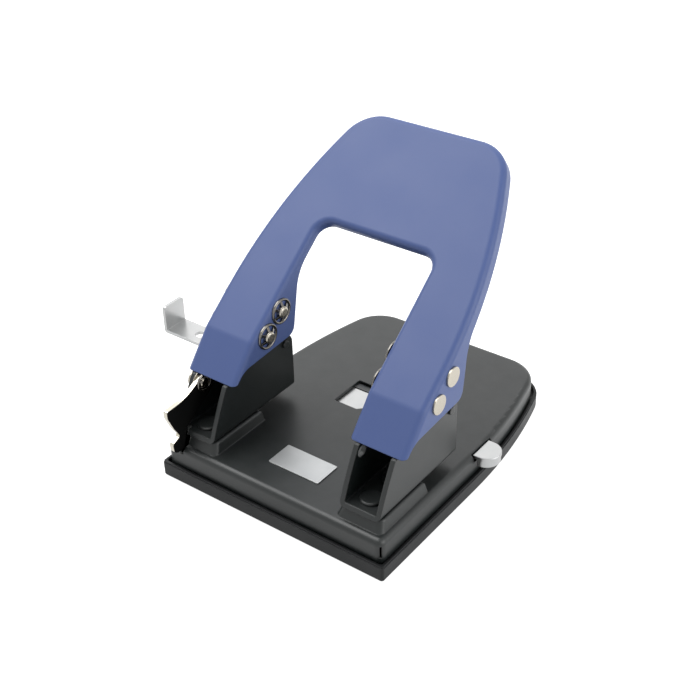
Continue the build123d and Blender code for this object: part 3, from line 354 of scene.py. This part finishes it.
class DustFilm(Effect):
    """Thin film of paper dust on faces that look up.

    Attributes:
        falloff: how fast the dust fades as a face turns away from up.
        contrast: how much the patches' noise is stretched.
        shift: what is added to the stretched noise.
    """

    title = "dust_film"
    inputs = {
        "Amount": (SocketKind.NUMBER, 0.05),
        "Scale": (SocketKind.NUMBER, 160.0),
    }
    outputs = {"Mask": SocketKind.NUMBER}
    falloff: float = 3.0
    contrast: float = 1.8
    shift: float = -0.35

    def lay_out(self, sheet: NodeSheet, given: bpy.types.Node, made: bpy.types.Node) -> None:
        """Multiplies how far a face looks up by a patchy noise.

        Args:
            sheet: the group's nodes.
            given: the node whose outputs are the group's inputs.
            made: the node whose inputs are the group's outputs.
        """
        parts = sheet.add("SeparateXYZ")
        sheet.feed(parts.inputs[0], sheet.object_normal())
        upward = sheet.maths("MAXIMUM", parts.outputs["Z"], 0.0)
        upward = sheet.maths("POWER", upward, self.falloff)
        patches = sheet.noise(sheet.object_place(), given.outputs["Scale"], detail=6.0)
        patches = sheet.maths("MULTIPLY_ADD", patches, self.contrast, self.shift, clamp=True)
        mask = sheet.maths("MULTIPLY", upward, patches)
        sheet.feed(made.inputs["Mask"], sheet.maths("MULTIPLY", mask, given.outputs["Amount"]))


class DrawnLines(Effect):
    """Fine parallel lines left by rolling, drawing or grinding metal."""

    title = "drawn_lines"
    inputs = {
        "Stretch": (SocketKind.VECTOR, (60.0, 2400.0, 2400.0)),
        "Depth": (SocketKind.NUMBER, 1.0),
    }
    outputs = {"Height": SocketKind.NUMBER, "Streak": SocketKind.NUMBER}

    def lay_out(self, sheet: NodeSheet, given: bpy.types.Node, made: bpy.types.Node) -> None:
        """Reads a noise at a place stretched along the lines.

        Args:
            sheet: the group's nodes.
            given: the node whose outputs are the group's inputs.
            made: the node whose inputs are the group's outputs.
        """
        place = sheet.vector("MULTIPLY", sheet.object_place(), given.outputs["Stretch"])
        streak = sheet.noise(place.outputs["Vector"], 1.0, detail=3.0)
        height = sheet.maths("MULTIPLY", streak, given.outputs["Depth"])
        sheet.feed(made.inputs["Height"], height)
        sheet.feed(made.inputs["Streak"], streak)


FINE_GRAIN, SOFT_MOTTLE, SOFT_EDGE = FineGrain(), SoftMottle(), SoftEdge()
DUST_FILM, DRAWN_LINES = DustFilm(), DrawnLines()


@dataclass(frozen=True)
class Finish:
    """A surface finish. Each kind adds its own nodes to the material.

    Attributes:
        title: name of the material.
        colour: the finish's main colour.
        smooth: lowest roughness of the surface.
        rough: highest roughness of the surface.
        specular: the shader's specular level.
    """

    title: str
    colour: Rgba
    smooth: float
    rough: float
    specular: float = 0.5

    def colour_nodes(self, sheet: NodeSheet, shader: bpy.types.Node) -> None:
        """Feeds the shader's colour, roughness and normal.

        Args:
            sheet: the material's nodes.
            shader: the shader to feed.
        """
        raise NotImplementedError

    def plain_values(self, shader: bpy.types.Node) -> None:
        """Sets the values that are the same all over, on the shader itself."""
        shader.inputs["Specular IOR Level"].default_value = self.specular

    def bump(self, sheet: NodeSheet, height: object, depth: float,
             normal: object) -> bpy.types.NodeSocket:
        """Adds a relief.

        Args:
            sheet: the material's nodes.
            height: the relief's height, from 0 to 1.
            depth: depth of the relief in metres.
            normal: the normal to work on.

        Returns:
            The new normal's socket.
        """
        node = sheet.add("Bump")
        node.inputs["Strength"].default_value = 1.0
        node.inputs["Distance"].default_value = depth
        sheet.feed(node.inputs["Height"], height)
        sheet.feed(node.inputs["Normal"], normal)
        return node.outputs["Normal"]

    def material(self) -> bpy.types.Material:
        """Builds the material on first use.

        Returns:
            The material, the same one each time.
        """
        known = bpy.data.materials.get(self.title)
        if known is not None:
            return known
        made = bpy.data.materials.new(self.title)
        made.use_nodes = True
        made.node_tree.nodes.clear()
        sheet = NodeSheet(made.node_tree)
        shader = sheet.add("BsdfPrincipled")
        self.plain_values(shader)
        self.colour_nodes(sheet, shader)
        sheet.feed(sheet.add("OutputMaterial").inputs["Surface"], shader.outputs["BSDF"])
        return made


@dataclass(frozen=True)
class SatinEnamel(Finish):
    """Stoved satin paint on pressed steel, a little thinner and lighter along the edges, where
    the lighter colour is worn paint together with a painted edge highlight.

    Attributes:
        edge_wear_and_highlight_colour: lighter colour along the edges, for thin worn paint and a
            painted edge highlight.
        dust_colour: colour of the dust.
        grain_depth: depth of the sprayed grain.
        edge_radius: how far the edges are rounded.
        edge_wear_and_highlight_share: how much of the lighter edge colour shows, as wear and
            painted highlight.
        dust: how much dust lies on it.
        mottle_scale: how fine the slow change of gloss is.
    """

    edge_wear_and_highlight_colour: Rgba = paint(0.1, 0.1, 0.1)
    dust_colour: Rgba = paint(0.5, 0.5, 0.5)
    grain_depth: float = 0.000006
    edge_radius: float = 0.00035
    edge_wear_and_highlight_share: float = 0.35
    dust: float = 0.03
    mottle_scale: float = 55.0

    def colour_nodes(self, sheet: NodeSheet, shader: bpy.types.Node) -> None:
        """Lays lighter edges, worn paint with a painted highlight, and a trace of dust over the
        paint, with a sprayed grain.

        Args:
            sheet: the material's nodes.
            shader: the shader to feed.
        """
        edge = SOFT_EDGE.place(sheet, Radius=self.edge_radius, Rub=self.edge_wear_and_highlight_share)
        dust = DUST_FILM.place(sheet, Amount=self.dust)
        grain = FINE_GRAIN.place(sheet)
        mottle = SOFT_MOTTLE.place(
            sheet, Scale=self.mottle_scale, Low=self.smooth, High=self.rough)
        # lighter edge colour: worn paint together with a painted edge highlight
        colour = sheet.blend(edge.outputs["Mask"], self.colour, self.edge_wear_and_highlight_colour)
        colour = sheet.blend(dust.outputs["Mask"], colour, self.dust_colour)
        sheet.feed(shader.inputs["Base Color"], colour)
        sheet.feed(shader.inputs["Roughness"], mottle.outputs["Value"])
        sheet.feed(shader.inputs["Normal"], self.bump(
            sheet, grain.outputs["Height"], self.grain_depth, edge.outputs["Normal"]))


@dataclass(frozen=True)
class MouldedPlastic(Finish):
    """Moulded plastic with a finely eroded texture and lighter corners, polished by wear and
    with a painted highlight.

    Attributes:
        edge_wear_and_highlight_colour: lighter colour of the corners, for polish and a painted
            highlight.
        edge_radius: how far the corners are rounded.
        edge_wear_and_highlight_share: how much of the lighter corner colour shows, as wear and
            painted highlight.
        grain_depth: depth of the eroded texture.
        grain_scale: how fine the texture is.
        ripple_scale: how fine the broader ripple is.
        ripple_share: the ripple's share.
        mottle_scale: how fine the slow change of gloss is.
    """

    edge_wear_and_highlight_colour: Rgba = paint(0.1, 0.1, 0.1)
    edge_radius: float = 0.0004
    edge_wear_and_highlight_share: float = 0.5
    grain_depth: float = 0.00002
    grain_scale: float = 1800.0
    ripple_scale: float = 260.0
    ripple_share: float = 0.25
    mottle_scale: float = 90.0

    def colour_nodes(self, sheet: NodeSheet, shader: bpy.types.Node) -> None:
        """Gives the plastic its eroded grain and lighter corners, polished and with a painted
        highlight.

        Args:
            sheet: the material's nodes.
            shader: the shader to feed.
        """
        edge = SOFT_EDGE.place(sheet, Radius=self.edge_radius, Rub=self.edge_wear_and_highlight_share)
        grain = FINE_GRAIN.place(
            sheet, Grain_Scale=self.grain_scale, Ripple_Scale=self.ripple_scale,
            Ripple_Share=self.ripple_share)
        mottle = SOFT_MOTTLE.place(
            sheet, Scale=self.mottle_scale, Low=self.smooth, High=self.rough)
        # lighter corner colour: polish together with a painted highlight
        sheet.feed(shader.inputs["Base Color"],
                   sheet.blend(edge.outputs["Mask"], self.colour, self.edge_wear_and_highlight_colour))
        sheet.feed(shader.inputs["Roughness"], mottle.outputs["Value"])
        sheet.feed(shader.inputs["Normal"], self.bump(
            sheet, grain.outputs["Height"], self.grain_depth, edge.outputs["Normal"]))


@dataclass(frozen=True)
class BareMetal(Finish):
    """Plated, rolled or ground metal with fine lines and a slow shift of tint.

    Attributes:
        tint: the colour that the metal shifts to.
        lines: how fine the lines are along each axis.
        line_depth: depth of the lines.
        edge_radius: how far the edges are rounded.
        edge_wear_and_highlight_share: share of the edge mask, which this finish leaves unused.
        tint_scale: how fine the shift of tint is.
    """

    tint: Rgba = paint(0.6, 0.6, 0.6)
    lines: Triple = (60.0, 2400.0, 2400.0)
    line_depth: float = 0.000003
    edge_radius: float = 0.0002
    edge_wear_and_highlight_share: float = 0.4
    tint_scale: float = 140.0

    def plain_values(self, shader: bpy.types.Node) -> None:
        """Makes the shader a metal."""
        super().plain_values(shader)
        shader.inputs["Metallic"].default_value = 1.0

    def colour_nodes(self, sheet: NodeSheet, shader: bpy.types.Node) -> None:
        """Shifts the metal's tint slowly and adds its lines.

        Args:
            sheet: the material's nodes.
            shader: the shader to feed.
        """
        edge = SOFT_EDGE.place(sheet, Radius=self.edge_radius, Rub=self.edge_wear_and_highlight_share)
        lines = DRAWN_LINES.place(sheet, Stretch=self.lines)
        tint = SOFT_MOTTLE.place(sheet, Scale=self.tint_scale, Low=0.0, High=1.0)
        streak = sheet.between(lines.outputs["Streak"], self.smooth, self.rough)
        sheet.feed(shader.inputs["Base Color"],
                   sheet.blend(tint.outputs["Value"], self.colour, self.tint))
        sheet.feed(shader.inputs["Roughness"], streak)
        sheet.feed(shader.inputs["Normal"], self.bump(
            sheet, lines.outputs["Height"], self.line_depth, edge.outputs["Normal"]))


@dataclass(frozen=True)
class BlackenedSteel(Finish):
    """Steel plate with blackened faces whose punched edge is left bright.

    Attributes:
        bright: colour of the punched edge.
        bright_rough: roughness of the punched edge.
        edge_normal: a face whose normal along X is under this is the punched edge.
        edge_radius: how far the edges are rounded.
        edge_wear_and_highlight_share: share of the edge mask, which this finish leaves unused.
        lines: how fine the shearing lines are along each axis.
        line_depth: depth of the lines.
    """

    bright: Rgba = paint(0.60, 0.57, 0.49)
    bright_rough: float = 0.22
    edge_normal: float = 0.6
    edge_radius: float = 0.0002
    edge_wear_and_highlight_share: float = 0.6
    lines: Triple = (2600.0, 120.0, 120.0)
    line_depth: float = 0.000006

    def colour_nodes(self, sheet: NodeSheet, shader: bpy.types.Node) -> None:
        """Tells the plate's two faces from its edge by the normal along X.

        Args:
            sheet: the material's nodes.
            shader: the shader to feed.
        """
        parts = sheet.add("SeparateXYZ")
        sheet.feed(parts.inputs[0], sheet.object_normal())
        facing = sheet.maths("ABSOLUTE", parts.outputs["X"])
        rim = sheet.maths("LESS_THAN", facing, self.edge_normal)
        edge = SOFT_EDGE.place(sheet, Radius=self.edge_radius, Rub=self.edge_wear_and_highlight_share)
        lines = DRAWN_LINES.place(sheet, Stretch=self.lines)
        sheet.feed(shader.inputs["Base Color"], sheet.blend(rim, self.colour, self.bright))
        sheet.feed(shader.inputs["Metallic"], rim)
        rough = sheet.maths("MULTIPLY_ADD", rim, self.bright_rough - self.rough, self.rough)
        sheet.feed(shader.inputs["Roughness"], rough)
        sheet.feed(shader.inputs["Normal"], self.bump(
            sheet, lines.outputs["Height"], self.line_depth, edge.outputs["Normal"]))


# The edge colours below are lighter than their paint and plastic: wear and polish together with
# a painted edge highlight.
BLACK_ENAMEL = SatinEnamel(
    "black_enamel", paint(0.009, 0.012, 0.012), smooth=0.34, rough=0.42, specular=0.52,
    edge_wear_and_highlight_colour=paint(0.05, 0.05, 0.05), edge_radius=0.0007, dust=0.02)
BLUE_ENAMEL = SatinEnamel(
    "slate_blue_enamel", paint(0.086, 0.131, 0.322), smooth=0.37, rough=0.45, specular=0.34,
    edge_wear_and_highlight_colour=paint(0.15, 0.20, 0.38), dust=0.015)
TRAY_PLASTIC = MouldedPlastic(
    "dark_grey_plastic", paint(0.009, 0.010, 0.011), smooth=0.40, rough=0.50, specular=0.24,
    edge_wear_and_highlight_colour=paint(0.08, 0.08, 0.085))
BRIGHT_ZINC = BareMetal(
    "bright_zinc", paint(0.48, 0.48, 0.48), smooth=0.24, rough=0.38,
    tint=paint(0.44, 0.45, 0.45), lines=(70.0, 1800.0, 1800.0))
# a darker copy of the zinc, painted shade for the channel under the plate
ZINC_DARKENED_AS_SHADE = BareMetal(
    "zinc_darkened_as_painted_shade", paint(0.10, 0.10, 0.10), smooth=0.40, rough=0.55,
    tint=paint(0.07, 0.075, 0.08), lines=(70.0, 1800.0, 1800.0))
WARM_NICKEL = BareMetal(
    "warm_nickel", paint(0.44, 0.41, 0.34), smooth=0.18, rough=0.30,
    tint=paint(0.40, 0.37, 0.32), lines=(900.0, 900.0, 900.0), line_depth=0.0000006)
SPRUNG_NICKEL = BareMetal(
    "sprung_dark_nickel", paint(0.20, 0.19, 0.17), smooth=0.12, rough=0.22,
    tint=paint(0.16, 0.15, 0.14), lines=(900.0, 900.0, 900.0), line_depth=0.0000006)
GROUND_STEEL = BareMetal(
    "ground_tool_steel", paint(0.46, 0.45, 0.44), smooth=0.22, rough=0.36,
    tint=paint(0.38, 0.38, 0.38), lines=(1800.0, 1800.0, 120.0))
SPRING_WIRE = BareMetal(
    "drawn_spring_wire", paint(0.42, 0.41, 0.40), smooth=0.25, rough=0.38,
    tint=paint(0.34, 0.33, 0.32), lines=(1200.0, 1200.0, 1200.0))
LABEL_METAL = BareMetal(
    "bare_label_metal", paint(0.50, 0.51, 0.51), smooth=0.34, rough=0.50,
    tint=paint(0.45, 0.46, 0.46), lines=(60.0, 3200.0, 3200.0), line_depth=0.000004)
LEVER_STEEL = BlackenedSteel(
    "blackened_lever_steel", paint(0.003, 0.003, 0.003), smooth=0.40, rough=0.50,
    specular=0.12)


@dataclass
class SubAssembly:
    """A group of the punch's pieces that are made and finished together.

    Attributes:
        title: name used in the log.
        finishes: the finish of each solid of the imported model.
    """

    title: str = ""
    finishes: dict[str, Finish] = field(default_factory=dict)

    def dress(self, name: str, finish: Finish) -> None:
        """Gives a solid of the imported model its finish.

        Args:
            name: the solid's name.
            finish: what covers it.
        """
        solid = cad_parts[name]
        material = finish.material()
        if not solid.material_slots:
            solid.data.materials.append(material)
        for place in solid.material_slots:
            place.material = material
        log.info("%s: %s in %s", self.title, name, finish.title)

    def build(self) -> None:
        """Finishes every solid of the group."""
        for name, finish in self.finishes.items():
            self.dress(name, finish)


@dataclass(frozen=True)
class Spring:
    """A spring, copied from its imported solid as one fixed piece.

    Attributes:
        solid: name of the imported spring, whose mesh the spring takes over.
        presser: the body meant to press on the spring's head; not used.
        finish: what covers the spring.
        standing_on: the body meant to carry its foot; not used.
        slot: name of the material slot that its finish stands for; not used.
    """

    solid: str
    presser: str
    finish: Finish
    standing_on: str = "base_assembly"
    slot: str = "spring_steel"

    def build(self) -> bpy.types.Object:
        """Builds the spring in place of its solid.

        Returns:
            The new piece.
        """
        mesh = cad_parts[self.solid].data.copy()
        mesh.materials.clear()
        mesh.materials.append(self.finish.material())
        spring = bpy.data.objects.new(self.solid + "_flexing", mesh)
        bpy.context.scene.collection.objects.link(spring)
        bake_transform(spring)
        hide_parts(self.solid)
        log.info("spring: %s in %s", spring.name, self.finish.title)
        return spring


@dataclass
class Base(SubAssembly):
    """Chip tray, painted plate, dies and the bare plate on the front."""

    title: str = "base"
    finishes: dict[str, Finish] = field(default_factory=lambda: {
        "chip_tray": TRAY_PLASTIC,
        "base_plate": BLACK_ENAMEL,
        "label_plate": LABEL_METAL,
        "left_die": GROUND_STEEL,
        "right_die": GROUND_STEEL,
    })


@dataclass
class Towers(SubAssembly):
    """The two folded brackets, their rivets and the blocks that guide the punches."""

    title: str = "towers"
    finishes: dict[str, Finish] = field(default_factory=lambda: {
        "left_tower": BLACK_ENAMEL,
        "right_tower": BLACK_ENAMEL,
        "tower_rivets": BLACK_ENAMEL,
        "left_punch_bridge": BLACK_ENAMEL,
        "right_punch_bridge": BLACK_ENAMEL,
    })


@dataclass
class PunchUnits(SubAssembly):
    """The two punches with their return springs."""

    title: str = "punches"
    finishes: dict[str, Finish] = field(default_factory=lambda: {
        "left_punch": GROUND_STEEL,
        "right_punch": GROUND_STEEL,
    })
    springs: tuple[Spring, ...] = (
        Spring("left_punch_spring", "left_punch_body", SPRING_WIRE),
        Spring("right_punch_spring", "right_punch_body", SPRING_WIRE),
    )

    def build(self) -> None:
        """Finishes the punches and builds their springs."""
        super().build()
        for spring in self.springs:
            spring.build()


@dataclass
class PressHandle(SubAssembly):
    """The pressed handle with its pins, toothed washers and spacers."""

    title: str = "handle"
    finishes: dict[str, Finish] = field(default_factory=lambda: {
        "handle": BLUE_ENAMEL,
        "left_fulcrum_pin": WARM_NICKEL,
        "right_fulcrum_pin": WARM_NICKEL,
        "left_driver_pin": WARM_NICKEL,
        "right_driver_pin": WARM_NICKEL,
        "fulcrum_starlocks": SPRUNG_NICKEL,
        "driver_starlocks": SPRUNG_NICKEL,
        "spacer_washers": WARM_NICKEL,
    })


@dataclass
class HandleLock(SubAssembly):
    """The lever that holds the handle down, on its pin."""

    title: str = "handle lock"
    finishes: dict[str, Finish] = field(default_factory=lambda: {
        "lock_lever": LEVER_STEEL,
        "lock_pivot": WARM_NICKEL,
        "lock_starlock": SPRUNG_NICKEL,
        "lock_washer": WARM_NICKEL,
    })


@dataclass
class PaperGuide(SubAssembly):
    """The sliding bar with its stop, the channel it runs in and its latch."""

    title: str = "paper guide"
    finishes: dict[str, Finish] = field(default_factory=lambda: {
        "guide_bar": BRIGHT_ZINC,
        # the channel takes the darkened zinc copy, a painted shade
        "guide_channel": ZINC_DARKENED_AS_SHADE,
        "guide_latch": BRIGHT_ZINC,
        "latch_pin": BRIGHT_ZINC,
    })
    spring: Spring = Spring("latch_spring", "latch_body", SPRING_WIRE)

    def build(self) -> None:
        """Finishes the guide and builds the latch's leaf spring."""
        super().build()
        self.spring.build()


@dataclass
class Desk:
    """White floor that the punch stands on, with a soft shadow. Reflections see its glow dimmed
    in front of the punch as a painted shadow and raised behind it as a painted pool of light.

    Attributes:
        half_side: half the floor's side.
        drop: how far the floor lies under the punch, to keep faces apart.
        colour: the floor's own colour.
        glow: strength of the white that the camera sees.
        painted_shadow_glow: strength of the white that reflections see in front of the punch,
            dimmed there as a painted shadow.
        painted_light_glow: the same behind it, raised there as a painted pool of light standing
            for the light that falls there.
        fade: distance over which the one passes into the other.
        slant: how far that change is turned towards the right.
    """

    half_side: float = 6.0
    drop: float = 0.0002
    colour: Rgba = paint(0.6, 0.6, 0.6)
    glow: float = 0.89
    painted_shadow_glow: float = 0.56
    painted_light_glow: float = 1.0
    fade: float = 0.20
    slant: float = 0.35

    def painted_light_and_shadow_glow(self, sheet: NodeSheet) -> bpy.types.NodeSocket:
        """Works out the strength that reflections see, by the place on the floor: a painted
        shadow in front of the punch passing into a painted pool of light behind it.

        Args:
            sheet: the floor's nodes.

        Returns:
            The strength's socket.
        """
        parts = sheet.add("SeparateXYZ")
        sheet.feed(parts.inputs[0], sheet.object_place())
        along = sheet.maths("MULTIPLY_ADD", parts.outputs["X"], self.slant, parts.outputs["Y"])
        share = sheet.maths("MULTIPLY_ADD", along, 1.0 / self.fade, 0.5, clamp=True)
        return sheet.between(share, self.painted_shadow_glow, self.painted_light_glow)

    def material(self) -> bpy.types.Material:
        """Builds a floor material that shows white and still takes the shadow.

        Returns:
            The material.
        """
        made = bpy.data.materials.new("white_desk")
        made.use_nodes = True
        made.node_tree.nodes.clear()
        sheet = NodeSheet(made.node_tree)
        matt = sheet.add("BsdfDiffuse")
        matt.inputs["Color"].default_value = self.colour
        glow = sheet.add("Emission")
        glow.inputs["Color"].default_value = paint(1.0, 1.0, 1.0)
        path = sheet.add("LightPath")
        mirrored = sheet.maths("MAXIMUM", path.outputs["Is Glossy Ray"],
                               path.outputs["Is Transmission Ray"])
        strength = sheet.maths("MULTIPLY", path.outputs["Is Camera Ray"], self.glow)
        # reflections see the glow with its painted shadow in front and painted light behind
        strength = sheet.maths("MULTIPLY_ADD", mirrored, self.painted_light_and_shadow_glow(sheet), strength)
        sheet.feed(glow.inputs["Strength"], strength)
        both = sheet.add("AddShader")
        sheet.feed(both.inputs[0], matt.outputs["BSDF"])
        sheet.feed(both.inputs[1], glow.outputs["Emission"])
        sheet.feed(sheet.add("OutputMaterial").inputs["Surface"], both.outputs["Shader"])
        return made

    def build(self) -> None:
        """Builds the floor as one wide square."""
        mesh = bpy.data.meshes.new("desk_top")
        shape = bmesh.new()
        shape.faces.new(
            [shape.verts.new((x * self.half_side, y * self.half_side, -self.drop))
             for x, y in ((-1, -1), (1, -1), (1, 1), (-1, 1))])
        shape.to_mesh(mesh)
        shape.free()
        floor = bpy.data.objects.new("desk_top", mesh)
        floor.data.materials.append(self.material())
        bpy.context.scene.collection.objects.link(floor)
        log.info("desk: desk_top")


def background_share(sheet: NodeSheet) -> bpy.types.NodeSocket:
    """Tells the rays that show the background: camera, mirror and glass rays.

    Args:
        sheet: the world's nodes.

    Returns:
        The socket that is 1 for these rays and 0 for the light that falls on the punch.
    """
    path = sheet.add("LightPath")
    seen = sheet.maths("MAXIMUM", path.outputs["Is Camera Ray"], path.outputs["Is Glossy Ray"])
    return sheet.maths("MAXIMUM", seen, path.outputs["Is Transmission Ray"])


@dataclass
class Surroundings:
    """White tent round the punch.

    Attributes:
        level: brightness of the light that the tent gives.
        shown: brightness that the camera and reflections see.
    """

    level: float = 0.25
    shown: float = 1.0

    def build(self) -> None:
        """Sets the world's light and what shows of it."""
        world = bpy.data.worlds.new("white_tent")
        bpy.context.scene.world = world
        world.use_nodes = True
        world.node_tree.nodes.clear()
        sheet = NodeSheet(world.node_tree)
        sky = sheet.add("Background")
        sky.inputs["Color"].default_value = paint(1.0, 1.0, 1.0)
        strength = sheet.between(background_share(sheet), self.level, self.shown)
        sheet.feed(sky.inputs["Strength"], strength)
        sheet.feed(sheet.add("OutputWorld").inputs["Surface"], sky.outputs["Background"])
        log.info("surroundings: %s", world.name)


@dataclass
class SoftLamp:
    """A square lamp behind cloth.

    Attributes:
        title: the lamp's name.
        place: where it hangs.
        side: length of its side.
        watts: its power.
        aim: the point that it shines at.
    """

    title: str
    place: Triple
    side: float
    watts: float
    aim: Triple = (0.0, 0.0, 0.04)

    def build(self) -> None:
        """Hangs the lamp and turns it to its aim."""
        light = bpy.data.lights.new(self.title, "AREA")
        light.shape = "SQUARE"
        light.size = self.side
        light.energy = self.watts
        lamp = bpy.data.objects.new(self.title, light)
        lamp.location = self.place
        look = Vector(self.aim) - Vector(self.place)
        lamp.rotation_euler = look.to_track_quat("-Z", "Y").to_euler()
        bpy.context.scene.collection.objects.link(lamp)
        log.info("lamp: %s", self.title)


@dataclass
class Viewpoint:
    """The camera, fitted to the picture from the towers' spacing.

    Attributes:
        place: where it stands.
        azimuth: degrees round the punch from its front, towards the right.
        elevation: degrees above the horizon.
        roll: degrees that the picture is tipped.
        lens: focal length in millimetres.
        sensor: width of the picture behind the lens in millimetres.
        nearest: how close a thing may be and still show.
    """

    place: Triple = (0.24361, -0.33335, 0.31358)
    azimuth: float = 37.2
    elevation: float = 33.08
    roll: float = -1.28
    lens: float = 62.78
    sensor: float = 36.0
    nearest: float = 0.01

    def turn(self) -> Matrix:
        """Works out the camera's turn.

        Returns:
            The matrix of its right, up and back directions.
        """
        around, above, tip = (math.radians(v) for v in (self.azimuth, self.elevation, self.roll))
        back = Vector((math.sin(around) * math.cos(above), -math.cos(around) * math.cos(above),
                       math.sin(above)))
        right = Vector((math.cos(around), math.sin(around), 0.0))
        up = back.cross(right)
        tipped_right = math.cos(tip) * right + math.sin(tip) * up
        tipped_up = math.cos(tip) * up - math.sin(tip) * right
        return Matrix((tipped_right, tipped_up, back)).transposed()

    def build(self) -> None:
        """Places the camera and makes it the scene's own."""
        data = bpy.data.cameras.new("viewpoint")
        data.lens = self.lens
        data.sensor_width = self.sensor
        data.clip_start = self.nearest
        camera = bpy.data.objects.new("viewpoint", data)
        camera.matrix_world = Matrix.Translation(self.place) @ self.turn().to_4x4()
        bpy.context.scene.collection.objects.link(camera)
        bpy.context.scene.camera = camera
        log.info("camera: %s", camera.name)


LAMPS = (
    SoftLamp("lamp_above", place=(-0.45, -0.12, 0.94), side=0.8, watts=7.9),
    SoftLamp("lamp_back_left", place=(-0.55, 0.70, 0.68), side=1.3, watts=3.3),
    SoftLamp("lamp_right", place=(0.95, 0.14, 0.42), side=0.8, watts=5.8),
)


def main() -> None:
    """Builds the punch, its surroundings and the camera, in order."""
    logging.basicConfig(level=logging.INFO, format="%(name)s %(message)s")
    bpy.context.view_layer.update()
    bpy.context.scene.view_settings.view_transform = "Standard"
    Viewpoint().build()
    for part in (Base(), Towers(), PunchUnits(), PressHandle(), HandleLock(), PaperGuide()):
        part.build()
    Desk().build()
    Surroundings().build()
    for lamp in LAMPS:
        lamp.build()


if __name__ == "__main__":
    main()
